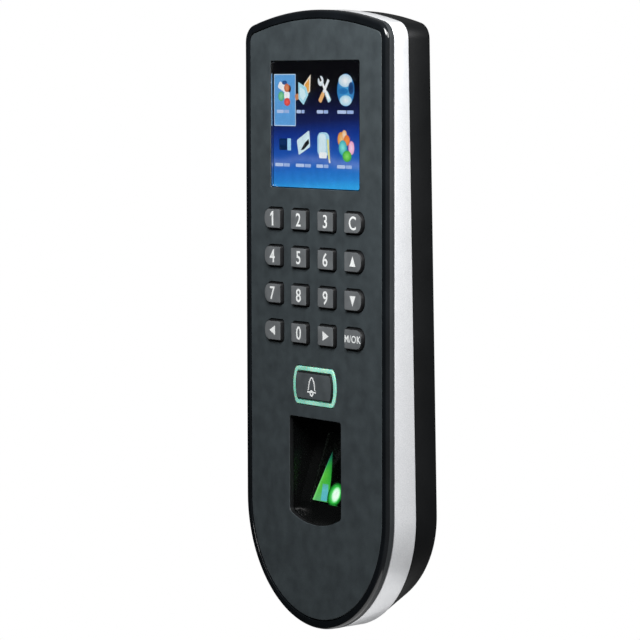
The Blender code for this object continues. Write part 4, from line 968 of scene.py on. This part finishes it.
def key_legend(name, low, high, top):
    """The meshes printed on a key: a digit, a letter or an arrow."""
    x, v = (low.x + high.x) / 2, (low.y + high.y) / 2
    height = top + 0.00001
    if name in ARROWS:
        cosine, sine = math.cos(math.radians(ARROWS[name])), math.sin(math.radians(ARROWS[name]))
        points = [(0.0019, 0), (-0.0015, 0.0016), (-0.0015, -0.0016)]
        return flat_print([(px * cosine - py * sine, px * sine + py * cosine) for px, py in points],
                          (x, v), height)
    if name == "key_1":
        return flat_print([(0.0007, 0.00245), (0.0001, 0.00245), (-0.0011, 0.0014), (-0.0011, 0.0007),
                           (-0.0002, 0.0012), (-0.0002, -0.00245), (0.0007, -0.00245)], (x, v), height)
    words = LEGENDS.get(name, name[-1])
    return text_shape(words, 0.0033 if len(words) > 1 else 0.0062, (x, v), height)


def flat_print(points, centre, height):
    """A thin printed mesh from one outline about a centre."""
    shape = bmesh.new()
    flat_shape(shape, [(centre[0] + x, centre[1] + y) for x, y in points], height - 0.00001,
               height + 0.00001, FACE)
    return print_mesh(shape)


def print_mesh(shape):
    """A plain mesh from a closed printed shape, its faces turned outwards."""
    bmesh.ops.recalc_face_normals(shape, faces=shape.faces)
    mesh = bpy.data.meshes.new("print")
    shape.to_mesh(mesh)
    shape.free()
    return mesh


def add_print(made, mesh):
    """Joins a printed mesh to a piece, in the piece's last material."""
    shape = bmesh.new()
    shape.from_mesh(made.data)
    before = len(shape.faces)
    shape.from_mesh(mesh)
    shape.faces.ensure_lookup_table()
    for face in shape.faces[before:]:
        face.material_index = len(made.data.materials) - 1
        face.smooth = False
    shape.to_mesh(made.data)
    shape.free()


def bell_symbol(centre, height):
    """The outline of a bell with its clapper, as closed strokes."""
    half = [(0.0, 0.0029), (0.0005, 0.0027), (0.0008, 0.0022), (0.0013, 0.0015), (0.0016, 0.0004),
            (0.0018, -0.0010), (0.0026, -0.0019)]
    shape = bmesh.new()
    stroke(shape, half + [(-x, y) for x, y in half[:0:-1]], 0.0005, centre, height)
    stroke(shape, arc((0, -0.0023), 0.0008, 0, 345, 22), 0.0006, centre, height + 0.000001)
    return print_mesh(shape)


def stroke(shape, points, width, centre, height):
    """Adds a closed line of the given width to a shape."""
    inner, outer = [], []
    count = len(points)
    for step, (x, y) in enumerate(points):
        before, after = points[step - 1], points[(step + 1) % count]
        along = Vector((after[0] - before[0], after[1] - before[1])).normalized()
        across = Vector((along.y, -along.x)) * width / 2
        inner.append((centre[0] + x - across.x, centre[1] + y - across.y))
        outer.append((centre[0] + x + across.x, centre[1] + y + across.y))
    rings = [at(FACE, inner, height - 0.00001), at(FACE, inner, height + 0.00001),
             at(FACE, outer, height + 0.00001), at(FACE, outer, height - 0.00001)]
    skin(shape, rings, looped=True)


def bell_parts():
    """The doorbell key with its printed bell, and the light ring round it."""
    low, high = span("bell_key", FACE)
    fit = RING_WALL + GAP
    shape = bmesh.new()
    rings = retainer(lambda inset: ring_outline(fit + inset), low.z)
    rings.append(at(FACE, ring_outline(fit), PLATE_FRONT - 0.0002))
    rings += [at(FACE, ring_outline(fit + KEY_EDGE * (1 - math.cos(turn))),
                 high.z - 0.00003 - KEY_EDGE * (1 - math.sin(turn)))
              for turn in (0, 0.4, 0.8, 1.2, math.pi / 2)]
    # The retainer, skirt and soft edge are near black: painted shade on the key's sides
    skin(shape, rings, caps=(True, False), finish=1)
    crown = [at(FACE, ring_outline(fit + KEY_EDGE * share), high.z - drop)
             for share, drop in ((1.0, 0.00003), (1.3, 0.00002), (3.0, 0.00001), (5.0, 0))]
    skin(shape, crown, caps=(False, True))
    made = to_object("bell_keycap", shape, (BELL_PC, SHADED_SIDE_BLACK, INK))
    centre = (-0.0009, (low.y + high.y) / 2)
    add_print(made, bell_symbol(centre, high.z + 0.00001))
    settle(made, "bell_key_body", "key_plastic", "bell_key")
    bell_ring()


def bell_ring():
    """The mint light guide round the doorbell key, its upper edges rounded on both sides."""
    top = PLATE_FRONT + RING_PROUD
    edge = 0.00018
    outer = [(0, RING_LOW.z), (0, top - edge), (edge * 0.3, top - edge * 0.3), (edge, top),
             (edge * 1.4, top)]
    inner = [(RING_WALL - inset, height) for inset, height in reversed(outer)]
    shape = bmesh.new()
    skin(shape, [at(FACE, ring_outline(inset), height) for inset, height in outer + inner], looped=True)
    made = to_object("bell_light_guide", shape, (LIGHT_GUIDE,))
    settle(made, "housing", "light_guide", "bell_light_ring")


# Finger well and its glass


def floor_height(v, drop=0.0):
    """Height of the well's sloping floor at v, less a drop."""
    return -(WELL_SHALLOW + (v - SCOOP_START) * WELL_FALL) - drop


def section_prism(section, left, right):
    """A closed shape with a (v, w) section on the face, between two x values."""
    shape = bmesh.new()
    skin(shape, [[FACE @ Vector((x, v, w)) for v, w in section] for x in (left, right)])
    return shape


def well_hollow():
    """The hollow a finger goes into: straight walls, a sloping floor and a scooped lower end."""
    def floor(v):
        if v >= SCOOP_START:
            return floor_height(v)
        share = min((SCOOP_START - v) / (SCOOP_LENGTH + GAP), 1.0)
        return -WELL_SHALLOW + (WELL_SHALLOW + PLATE_BACK) * (1 - math.sqrt(1 - share * share))

    outline = well_outline(0)
    shape = bmesh.new()
    low = [shape.verts.new(FACE @ Vector((x, v, floor(v)))) for x, v in outline]
    high = [shape.verts.new(FACE @ Vector((x, v, 0.001))) for x, v in outline]
    count = len(outline)
    for step in range(count):
        after = (step + 1) % count
        shape.faces.new((low[step], low[after], high[after], high[step]))
    shape.faces.new(high)
    left = sorted([i for i in range(count) if outline[i][0] < -1e-7], key=lambda i: outline[i][1])
    right = sorted([i for i in range(count) if outline[i][0] > 1e-7], key=lambda i: outline[i][1])
    tip = [i for i in range(count) if abs(outline[i][0]) <= 1e-7 and outline[i][1] < 0]
    for near_left, near_right, far_right, far_left in zip(left, right, right[1:], left[1:]):
        shape.faces.new((low[near_left], low[near_right], low[far_right], low[far_left]))
    for index in tip:
        shape.faces.new((low[index], low[right[0]], low[left[0]]))
    return shape


def sensor_well():
    """The black well: the finger's hollow above, room for the optics below."""
    made = to_object("finger_well", prism_of(well_outline(-WELL_WALL), WELL_LOW.z, WELL_HIGH.z, FACE),
                     (WELL_ABS,))
    carve(made, well_hollow())
    half = WELL_HALF_WIDTH - WELL_WALL
    low = WELL_LOW.z - 0.001
    end = WELL_TOP - 2 * WELL_WALL
    carve(made, section_prism([(SCOOP_START, low), (end, low), (end, floor_height(end, WELL_WALL)),
                               (SCOOP_START, floor_height(SCOOP_START, WELL_WALL))], -half, half))
    prism_low, prism_high = span("sensor_prism", FACE)
    carve(made, prism_of(rectangle((prism_low.x - GAP, prism_low.y - GAP),
                                   (prism_high.x + GAP, prism_high.y + GAP), 0.0006), low, 0, FACE))
    settle(made, "housing", "satin_black", "sensor_well")


def on_floor(x, v, height):
    """A point on the well's floor, lifted square to the face."""
    return FACE @ Vector((x, v, floor_height(v, PRISM_SINK) + height))


def floor_slab(name, outline, low, high, finish, edge=0.00012):
    """A slab that follows the sloping floor."""
    shape = bmesh.new()
    rings = [[on_floor(x, v, low) for x, v in outline(0)],
             [on_floor(x, v, high - edge) for x, v in outline(0)],
             [on_floor(x, v, high) for x, v in outline(edge)],
             [on_floor(x, v, high) for x, v in outline(edge * 1.5)]]
    skin(shape, rings)
    return to_object(name, shape, (finish,))


def lit_rings(shape, tint, rings, colours):
    """Adds a closed lit shape from rings of (x, v, height), each point or ring with its colour."""
    rows = skin(shape, [[on_floor(*point) for point in ring] for ring in rings])
    for row, codes in zip(rows, colours):
        for vertex, code in zip(row, codes * len(row)):
            vertex[tint] = linear(code)


def lit_wedge(shape, tint, steps, height):
    """A thin lit strip: each step has its v, its x places from left to right and their colours."""
    rings = []
    colours = []
    for v, places, codes in steps:
        rings.append([(x, v, height) for x in places] + [(x, v, height - 0.00002) for x in places[::-1]])
        colours.append(codes + codes[::-1])
    lit_rings(shape, tint, rings, colours)


def lit_glow(shape, tint, centre, half, stops, height):
    """A thin round glow: each stop has its share of the way out and its colour."""
    rings = [[(x, v, height - 0.00002) for x, v in disc_at(*centre, half[0] * 2, half[1] * 2, 36)]]
    for share, code in stops:
        rings.append([(x, v, height) for x, v in disc_at(*centre, half[0] * 2 * share,
                                                          half[1] * 2 * share, 36)])
    lit_rings(shape, tint, rings, [[stops[0][1]]] + [[code] for share, code in stops])


# The lit wedge under the glass: distance up from the glass's low end, places across, colours
WEDGE = ((0.0, (-0.0087, -0.0073, -0.0030, -0.0003), ["#86d888", "#62b070", "#58a878", "#4cb058"]),
         (0.0044, (-0.0077, -0.0066, -0.0034, -0.0007), ["#84dc80", "#56b83e", "#4cb044", "#3cae3c"]),
         (0.0079, (-0.0069, -0.0060, -0.0034, -0.0017), ["#80d480", "#5cb83a", "#44a83a", "#2c9a34"]),
         (0.0115, (-0.0061, -0.0056, -0.0040, -0.0030), ["#4ca884", "#2a9c3c", "#2a9a34", "#1e8434"]),
         (0.0140, (-0.0055, -0.0052, -0.0046, -0.0040), ["#2a8078", "#1a6a52", "#1a6a4e", "#125a42"]),
         (0.0162, (-0.0050, -0.00495, -0.0049, -0.00485),
          ["#1c5a4c", "#12463a", "#12463a", "#0c362c"]))
# The pale blue patch on the wedge, in the same way
WEDGE_PATCH = ((0.0003, (-0.0040, -0.0006), ["#5cb0cc", "#5cb0c4"]),
               (0.0034, (-0.0048, -0.0012), ["#64b4cc", "#64b8cc"]),
               (0.0056, (-0.0054, -0.0022), ["#58a89c", "#58a89c"]))
# The lamp's glow and its white core: share of the way out, colour
GLOW = ((1.0, "#031206"), (0.86, "#157a28"), (0.68, "#33b444"), (0.50, "#5fd070"), (0.30, "#52c860"))
GLOW_CORE = ((1.0, "#5cd06c"), (0.72, "#dcffe4"), (0.50, "#ffffff"), (0.20, "#ffffff"))


def sensor_glass():
    """The glass plate, the dark prism body below it, the lit wedge and the lamp's glow."""
    low, high = span("sensor_prism", FACE)

    def outline(inset):
        return rectangle(low, high, 0.0005, inset)

    plate = floor_slab("sensor_glass_plate", outline, -0.0006, 0, OPTICAL_GLASS)
    settle(plate, "housing", "prism_glass", "sensor_prism")
    body = floor_slab("sensor_prism_body", lambda inset: outline(inset + 0.0001), -0.0024, -0.00075,
                      WELL_ABS)
    settle(body, "housing", "prism_glass")
    glow = bmesh.new()
    tint = glow.verts.layers.float_color.new("tint")
    base = low.y + 0.00015
    lit_wedge(glow, tint, [(base + up, places, codes) for up, places, codes in WEDGE], -0.00074)
    lit_wedge(glow, tint, [(base + up, places, codes) for up, places, codes in WEDGE_PATCH], -0.00070)
    lit_glow(glow, tint, (0.0031, base + 0.0028), (0.0041, 0.0040), GLOW, -0.00066)
    lit_glow(glow, tint, (0.0036, base + 0.0029), (0.0024, 0.0026), GLOW_CORE, -0.00062)
    settle(to_object("sensor_lamp_glow", glow, (LAMP_LIGHT,)), "housing", "lamp", "sensor_lamp")


# Band, rear shell, bracket


def silver_band():
    """The wedge-shaped silver band with soft bright edges."""
    def front(inset, drop):
        return at(FACE, terminal_outline(inset), -FRAME_DEPTH - GAP - drop)

    def back(inset, lift):
        return at(WALL, terminal_outline(inset), REAR_DEPTH + GAP / 2 + lift)

    steps = 5
    turns = [math.pi / 2 * step / steps for step in range(steps + 1)]
    rises = [(BAND_EDGE * (1 - math.sin(turn)), BAND_EDGE * (1 - math.cos(turn))) for turn in turns]
    inner = BAND_INSET + BAND_WALL
    rings = [back(BAND_INSET + BAND_EDGE * 1.5, 0)]
    rings += [back(BAND_INSET + inwards, along) for inwards, along in rises]
    rings += [front(BAND_INSET + inwards, along) for along, inwards in rises]
    rings += [front(BAND_INSET + BAND_EDGE * 1.5, 0), front(inner, 0), back(inner, 0)]
    shape = bmesh.new()
    skin(shape, rings, looped=True)
    made = to_object("silver_lacquer_band", shape, (SILVER,))
    settle(made, "housing", "silver_paint", "silver_band")


def rear_housing():
    """The rear shell: tapered below, rounded at the back, with the bracket's pocket and its holes."""
    def outer(inset, height):
        share = max(1 - height / REAR_DEPTH, 0)
        return at(WALL, terminal_outline(inset, HOUSING_BOTTOM_RISE * share), height)

    front = REAR_DEPTH - GAP / 2
    inner = HOUSING_INSET + HOUSING_WALL
    radius = HOUSING_BACK_ROUNDING
    rings = [outer(HOUSING_BACK_INSET + radius * 1.4, 0)]
    for step in range(7):
        turn = math.pi / 2 * step / 6
        rings.append(outer(HOUSING_BACK_INSET + radius * (1 - math.sin(turn)),
                           radius * (1 - math.cos(turn))))
    rings += [outer(HOUSING_INSET, front - 0.0003), outer(HOUSING_INSET + 0.00009, front - 0.00009),
              outer(HOUSING_INSET + 0.0003, front), at(WALL, terminal_outline(inner), front),
              at(WALL, terminal_outline(inner, HOUSING_BOTTOM_RISE), WEB_FRONT)]
    shape = bmesh.new()
    skin(shape, rings)
    made = to_object("rear_shell", shape, (REAR_ABS,))
    low, high = span("wall_bracket", WALL)
    reach = high.x + POCKET_CLEARANCE
    tongue = TONGUE_HALF_WIDTH + POCKET_CLEARANCE
    shoulder = BRACKET_BOTTOM - POCKET_CLEARANCE
    half = [(-reach, high.y + POCKET_CLEARANCE), (-reach, shoulder), (-tongue, shoulder),
            (-tongue, low.y - POCKET_CLEARANCE)]
    recess = half + [(-x, v) for x, v in reversed(half)]
    carve(made, prism_of(recess, -THROUGH, WEB_BACK, WALL))
    for outline in housing_openings():
        carve(made, prism_of(outline, -THROUGH, WEB_FRONT + THROUGH, WALL))
    for index in range(4):
        x, v = middle(f"case_screw_{index + 1}", WALL).xy
        carve(made, prism_of(circle(CASE_HEAD_POCKET, (x, v)), -THROUGH, WEB_BACK, WALL))
        carve(made, prism_of(circle(CASE_SCREW_HOLE, (x, v), 32), 0, WEB_FRONT + THROUGH, WALL))
    board_back = span("main_board", WALL)[0].z
    for index in range(4):
        place = middle(f"board_screw_{index + 1}", WALL).xy
        post = prism_of(circle(STANDOFF, place, 32), WEB_FRONT - 0.0004, board_back - GAP, WALL)
        carve(made, post, "UNION")
        carve(made, prism_of(circle(STANDOFF_BORE, place, 24), WEB_FRONT, board_back, WALL))
    for slot in speaker_slots():
        carve(made, slot)
    carve(made, locking_hole())
    settle(made, "housing", "satin_black", "rear_housing")


BRACKET_BOTTOM = -HALF_HEIGHT + 0.0300
HOOK_BASE = span("wall_bracket", WALL)[1].y - 0.0160
CABLE_LOW = (-0.0170, 0.0170)
CABLE_HIGH = (0.0170, 0.0370)


def housing_openings():
    """The cable opening, the two hook slots, the tab's slot and the plunger's hole."""
    bracket_low, bracket_high = span("wall_bracket", WALL)
    tamper = middle("tamper_plunger", WALL)
    openings = [rectangle(CABLE_LOW, CABLE_HIGH, 0.0010)]
    reach = HOOK_HALF_WIDTH + POCKET_CLEARANCE
    for side in (-1, 1):
        x = side * (bracket_high.x - HOOK_INSET)
        openings.append(rectangle((x - reach, HOOK_BASE - 0.0050), (x + reach, HOOK_BASE + 0.0023),
                                  0.0006))
    tab = TONGUE_HALF_WIDTH + POCKET_CLEARANCE
    openings.append(rectangle((-tab, bracket_low.y - POCKET_CLEARANCE), (tab, bracket_low.y + 0.0045),
                              0.0004))
    openings.append(circle(PLUNGER_HOLE, tamper.xy, 32))
    return openings


def speaker_slots():
    """Five short slots with round ends in the left side, beside the speaker."""
    slots = []
    depth = (WEB_FRONT + REAR_DEPTH) / 2
    for step in range(5):
        v = middle("speaker", WALL).y + (step - 2) * SPEAKER_SLOT_PITCH
        slot = rounded_outline(*SPEAKER_SLOT, (0.00059,) * 4, (depth, v), 8)
        shape = bmesh.new()
        skin(shape, [[WALL @ Vector((x, height, d)) for d, height in slot]
                     for x in (-HALF_WIDTH - THROUGH, -HALF_WIDTH + HOUSING_INSET + 2 * HOUSING_WALL)])
        slots.append(shape)
    return slots


def locking_hole():
    """The stepped hole for the locking screw, up through the lower end."""
    low, high = span("locking_screw", WALL)
    seat = low.y + LOCK_HEAD_HEIGHT + GAP
    return upright_bore([(LOCK_SCREW_HOLE, high.y), (LOCK_SCREW_HOLE, seat), (LOCK_HEAD_HOLE, seat),
                         (LOCK_HEAD_HOLE, -HALF_HEIGHT - THROUGH)])


def upright_bore(steps):
    """A round shape on the locking screw's axis, from its diameters and where each is."""
    shape = bmesh.new()
    skin(shape, [[WALL @ Vector((x, v, LOCK_SCREW_DEPTH + d)) for x, d in circle(diameter)]
                 for diameter, v in steps])
    return shape


def wall_bracket():
    """The pressed steel plate with its hooks, tongue and bent tab; every edge is slightly broken."""
    low, high = span("wall_bracket", WALL)
    thick = BRACKET_THICKNESS
    plate = rectangle((low.x, BRACKET_BOTTOM), high, BRACKET_CORNER)
    made = to_object("steel_wall_bracket", prism_of(plate, 0, thick, WALL), (ZINC,))
    inner = WEB_FRONT + GAP
    outer = inner + thick * 0.8
    hook = [(HOOK_BASE - thick, 0.0003), (HOOK_BASE, 0.0003), (HOOK_BASE, inner),
            (HOOK_BASE + HOOK_REACH, inner), (HOOK_BASE + HOOK_REACH, outer), (HOOK_BASE - thick, outer)]
    for side in (-1, 1):
        x = side * (high.x - HOOK_INSET)
        shape = bmesh.new()
        skin(shape, [[WALL @ Vector((px, v, d)) for v, d in hook]
                     for px in (x - HOOK_HALF_WIDTH, x + HOOK_HALF_WIDTH)])
        carve(made, shape, "UNION")
    for end, depth in ((BRACKET_BOTTOM + 0.006, thick), (low.y + thick, high.z)):
        strip = rectangle((-TONGUE_HALF_WIDTH, low.y), (TONGUE_HALF_WIDTH, end), 0.0003)
        carve(made, prism_of(strip, 0, depth, WALL), "UNION")
    cable = rectangle(CABLE_LOW, CABLE_HIGH, 0.0010, -0.001)
    carve(made, prism_of(cable, -THROUGH, thick + THROUGH, WALL))
    for side in (-1, 1):
        for v in (high.y - WALL_HOLE_INSET[1], BRACKET_BOTTOM + WALL_HOLE_INSET[1]):
            place = (side * (high.x - WALL_HOLE_INSET[0]), v)
            shape = bmesh.new()
            skin(shape, [at(WALL, circle(diameter, place), depth) for diameter, depth in
                         ((0.0050, -THROUGH), (0.0050, thick - 0.0007), (0.0080, thick + 0.0008))])
            carve(made, shape)
    carve(made, upright_bore([(LOCK_SCREW_HOLE, low.y - 0.003), (LOCK_SCREW_HOLE, low.y + 0.003)]))
    bevel = made.modifiers.new("broken_edges", "BEVEL")
    bevel.width = 0.00015
    bevel.segments = 2
    bevel.limit_method = "ANGLE"
    bevel.angle_limit = math.radians(50)
    apply_modifiers(made)
    settle(made, "housing", "zinc_steel", "wall_bracket")


# Screws, made by one node tree


def tree_input(tree, name, kind, value):
    """Adds a named input to a node tree and gives its identifier."""
    socket = tree.interface.new_socket(name=name, in_out="INPUT", socket_type=kind)
    if value is not None:
        socket.default_value = value
    return socket.identifier


# Profiles of a screw along its length: share of the way from the head's top to the tip, value
HEAD_RADIUS = ((0.0, 0.0), (0.05, 0.5), (0.10, 0.80), (0.16, 0.96), (0.20, 1.0), (0.26, 1.0),
               (0.29, 0.0), (1.0, 0.0))
HEAD_HEIGHT = ((0.0, 1.0), (0.05, 0.97), (0.10, 0.85), (0.16, 0.60), (0.20, 0.35), (0.26, 0.0),
               (1.0, 0.0))
SHANK_RADIUS = ((0.0, 0.0), (0.26, 0.0), (0.29, 1.0), (0.95, 1.0), (0.98, 0.7), (1.0, 0.0))
SHANK_LENGTH = ((0.0, 0.0), (0.29, 0.0), (0.95, 0.96), (0.98, 1.0), (1.0, 1.0))
THREADED = ((0.0, 0.0), (0.33, 0.0), (0.36, 1.0), (0.92, 1.0), (0.95, 0.0), (1.0, 0.0))


def screw_tree():
    """Pan-head screws on the points of a mesh: a turned profile with a thread and a cross recess."""
    tree = bpy.data.node_groups.new("pan_head_screws", "GeometryNodeTree")
    tree.interface.new_socket(name="Geometry", in_out="INPUT", socket_type="NodeSocketGeometry")
    tree.interface.new_socket(name="Geometry", in_out="OUTPUT", socket_type="NodeSocketGeometry")
    sizes = {"Head Radius": 0.0025, "Head Height": 0.0014, "Shank Radius": 0.00125,
             "Shank Length": 0.009, "Thread Pitch": 0.0008, "Thread Depth": 0.00012}
    names = {name: tree_input(tree, name, "NodeSocketFloat", value) for name, value in sizes.items()}
    names["Turn"] = tree_input(tree, "Turn", "NodeSocketRotation", None)
    names["Finish"] = tree_input(tree, "Finish", "NodeSocketMaterial", None)
    given = add(tree, "NodeGroupInput").outputs

    def calculated(operation, *values):
        inputs = dict(enumerate(values))
        return add(tree, "ShaderNodeMath", inputs, operation=operation).outputs[0]

    def times(first, second):
        return calculated("MULTIPLY", first, second)

    def vector(x, y, z):
        return add(tree, "ShaderNodeCombineXYZ", {"X": x, "Y": y, "Z": z}).outputs["Vector"]

    grid = add(tree, "GeometryNodeMeshGrid", {"Size X": 1.0, "Size Y": 1.0, "Vertices X": 90,
                                              "Vertices Y": 41})
    position = add(tree, "GeometryNodeInputPosition").outputs[0]
    where = add(tree, "ShaderNodeSeparateXYZ", {"Vector": position})
    share = calculated("ADD", where.outputs["X"], 0.5)
    angle = times(where.outputs["Y"], 2 * math.pi)

    def along(points):
        node = add(tree, "ShaderNodeFloatCurve", {"Value": share})
        line = node.mapping.curves[0]
        for x, y in points[1:-1]:
            line.points.new(x, y)
        for point, (x, y) in zip(line.points, points):
            point.location = (x, y)
            point.handle_type = "VECTOR"
        node.mapping.update()
        return node.outputs["Value"]

    length = times(along(SHANK_LENGTH), given["Shank Length"])
    turns = calculated("DIVIDE", length, given["Thread Pitch"])
    lead = times(angle, 1 / (2 * math.pi))
    ridge = calculated("PINGPONG", calculated("ADD", turns, lead), 1.0)
    cut = times(times(ridge, given["Thread Depth"]), along(THREADED))
    plain = calculated("ADD", times(along(HEAD_RADIUS), given["Head Radius"]),
                   times(along(SHANK_RADIUS), given["Shank Radius"]))
    radius = calculated("SUBTRACT", plain, cut)
    height = calculated("SUBTRACT", length, times(along(HEAD_HEIGHT), given["Head Height"]))
    place = vector(times(radius, calculated("COSINE", angle)), times(radius, calculated("SINE", angle)), height)
    turned = add(tree, "GeometryNodeSetPosition", {"Geometry": grid.outputs["Mesh"], "Position": place})
    closed = add(tree, "GeometryNodeMergeByDistance", {"Geometry": turned.outputs["Geometry"],
                                                       "Distance": 0.000002})
    outside = closed.outputs["Geometry"]
    slot_size = vector(times(given["Head Radius"], 1.05), times(given["Head Radius"], 0.24),
                       times(given["Head Height"], 1.3))
    slot_place = vector(0.0, 0.0, times(given["Head Height"], -1.15))
    for quarter in (0.0, math.pi / 2):
        bar = add(tree, "GeometryNodeMeshCube", {"Size": slot_size}).outputs["Mesh"]
        cutter = add(tree, "GeometryNodeTransform", {"Geometry": bar, "Translation": slot_place,
                                                     "Rotation": (0, 0, quarter)}).outputs["Geometry"]
        cross = add(tree, "GeometryNodeMeshBoolean", {"Mesh 1": outside, "Mesh 2": cutter},
                    operation="DIFFERENCE")
        outside = cross.outputs["Mesh"]
    copies = add(tree, "GeometryNodeInstanceOnPoints", {"Points": given["Geometry"], "Instance": outside,
                                                        "Rotation": given["Turn"]})
    real = add(tree, "GeometryNodeRealizeInstances", {"Geometry": copies.outputs["Instances"]})
    finish = add(tree, "GeometryNodeSetMaterial", {"Geometry": real.outputs["Geometry"],
                                                   "Material": given["Finish"]})
    add(tree, "NodeGroupOutput", {"Geometry": finish.outputs["Geometry"]})
    return tree, names


SCREW_INPUTS = ("Head Radius", "Head Height", "Shank Radius", "Shank Length", "Thread Pitch")


def screws():
    """Case screws from behind, board screws from the front, and the locking screw from below."""
    tree, names = screw_tree()
    four = range(1, 5)
    layout = (("case_screw_set", [f"case_screw_{n}" for n in four], (math.pi / 2, 0, 0),
               (0.0025, 0.0014, 0.00125, 0.0090, 0.0009)),
              ("board_screw_set", [f"board_screw_{n}" for n in four], (-math.pi / 2, 0, 0),
               (0.0020, 0.0013, 0.0010, 0.0034, 0.0005)),
              ("locking_screw_set", ["locking_screw"], (0, 0, 0),
               (0.0027, LOCK_HEAD_HEIGHT, 0.0015, 0.0090, 0.0005)))
    for name, nodes, turn, sizes in layout:
        head_height = sizes[1]
        seats = []
        for node in nodes:
            low, high = span(node, WALL)
            x, v, depth = (low + high) / 2
            if name == "case_screw_set":
                depth = low.z + head_height
            elif name == "board_screw_set":
                depth = high.z - head_height
            else:
                v = low.y + head_height
            seats.append(WALL @ Vector((x, v, depth)))
        mesh = bpy.data.meshes.new(name)
        mesh.from_pydata(seats, [], [])
        made = bpy.data.objects.new(name, mesh)
        bpy.context.scene.collection.objects.link(made)
        modifier = made.modifiers.new("screws", "NODES")
        modifier.node_group = tree
        for label, value in zip(SCREW_INPUTS, sizes):
            modifier[names[label]] = value
        modifier[names["Turn"]] = turn
        modifier[names["Finish"]] = ZINC
        apply_modifiers(made, 40)
        settle(made, "housing", "zinc_steel", *nodes)


# Inside pieces that keep their CAD shape


INSIDE = {ERODED_ABS: ("display_cradle",), SILICONE: ("keypad_mat",),
          SOLDER_MASK: ("keypad_board", "main_board", "sensor_board"),
          NYLON: ("network_header", "power_header", "lock_header", "cell_holder", "tamper_plunger"),
          ZINC: ("backup_cell", "processor_shield"), COPPER: ("card_coil",),
          EPOXY: ("speaker", "tamper_switch", "sensor_camera"),
          POLYIMIDE: ("display_ribbon", "sensor_ribbon")}


def finish_inside():
    """Gives the CAD nodes that stay their real finishes."""
    for finish, names in INSIDE.items():
        for name in names:
            mesh = frame["nodes"][name].data
            mesh.materials.clear()
            mesh.materials.append(finish)


# Camera, floor and lights


def camera():
    """A long lens from the right of the front, slightly above, with a touch of roll."""
    azimuth, pitch, roll = math.radians(55.18), math.radians(5.157), math.radians(-1.06)
    back = Vector((math.sin(azimuth) * math.cos(pitch), -math.cos(azimuth) * math.cos(pitch),
                   math.sin(pitch)))
    level = (-back).cross(Vector((0, 0, 1))).normalized()
    upright = level.cross(-back)
    right = level * math.cos(roll) + upright * math.sin(roll)
    up = upright * math.cos(roll) - level * math.sin(roll)
    data = bpy.data.cameras.new("camera")
    data.sensor_width = 36.0
    data.lens = 169.41
    data.clip_start = 0.05
    data.clip_end = 100.0
    made = bpy.data.objects.new("camera", data)
    place = back * 1.00639 - right * 0.014444 - up * 0.000857
    made.matrix_world = Matrix.Translation(place) @ Matrix((right, up, back)).transposed().to_4x4()
    bpy.context.scene.collection.objects.link(made)
    bpy.context.scene.camera = made


def floor():
    """A plain pale floor, a little way below the terminal on its wall."""
    shape = bmesh.new()
    height = cad_low.z - 0.25
    shape.faces.new([shape.verts.new(Vector((x, y, height))) for x, y in circle(0.5, steps=64)])
    made, tree, shader = new_material("pale_floor", Roughness=0.6, Emission_Strength=0.97)
    tree.links.new(mixed_colour(tree, noise(tree, 400.0), "#8c8c8c", "#949494"),
                   shader.inputs["Base Color"])
    shader.inputs["Emission Color"].default_value = linear("#ffffff")
    to_object("floor", shape, (made,))


def lamp(name, place, aim, size, power):
    """A soft area light at a place, aimed at a point."""
    data = bpy.data.lights.new(name, "AREA")
    data.shape = "RECTANGLE"
    data.size, data.size_y = size
    data.energy = power
    made = bpy.data.objects.new(name, data)
    made.location = place
    made.rotation_mode = "QUATERNION"
    made.rotation_quaternion = (Vector(place) - Vector(aim)).to_track_quat("Z", "Y")
    bpy.context.scene.collection.objects.link(made)


def light():
    """Soft studio light: one lamp high in front, one high on the right, in a dim room that looks
    white from the camera."""
    world = bpy.data.worlds.new("studio")
    bpy.context.scene.world = world
    world.use_nodes = True
    tree = world.node_tree
    seen = add(tree, "ShaderNodeLightPath").outputs["Is Camera Ray"]
    way = add(tree, "ShaderNodeTexCoord").outputs["Generated"]
    dark = add(tree, "ShaderNodeVectorMath", {0: way, 1: (-0.82, -0.57, -0.05)}, operation="DOT_PRODUCT")
    room = add(tree, "ShaderNodeMapRange", {"Value": dark.outputs["Value"], "From Min": 0.3,
                                            "From Max": 0.95, "To Min": 0.14, "To Max": 0.004})
    strength = add(tree, "ShaderNodeMapRange", {"Value": seen, "To Min": room.outputs["Result"],
                                                "To Max": 1.0})
    tree.links.new(strength.outputs["Result"], tree.nodes["Background"].inputs["Strength"])
    tree.nodes["Background"].inputs["Color"].default_value = linear("#ffffff")
    lamp("high_front", (0.17, -0.24, 0.30), (0, 0, 0.10), (0.24, 0.16), 3.5)
    lamp("high_right", (0.80, 0.05, 0.50), (0, 0, 0.08), (0.50, 0.50), 9.9)
    bpy.context.scene.view_settings.view_transform = "Standard"


camera()
front_frame()
face_plate()
display_window()
display_module()
display_icons()
for key_name, key_column, key_low, key_high in key_spans():
    key_piece(key_name, key_column, key_low, key_high)
bell_parts()
sensor_well()
sensor_glass()
silver_band()
rear_housing()
wall_bracket()
screws()
finish_inside()
floor()
light()
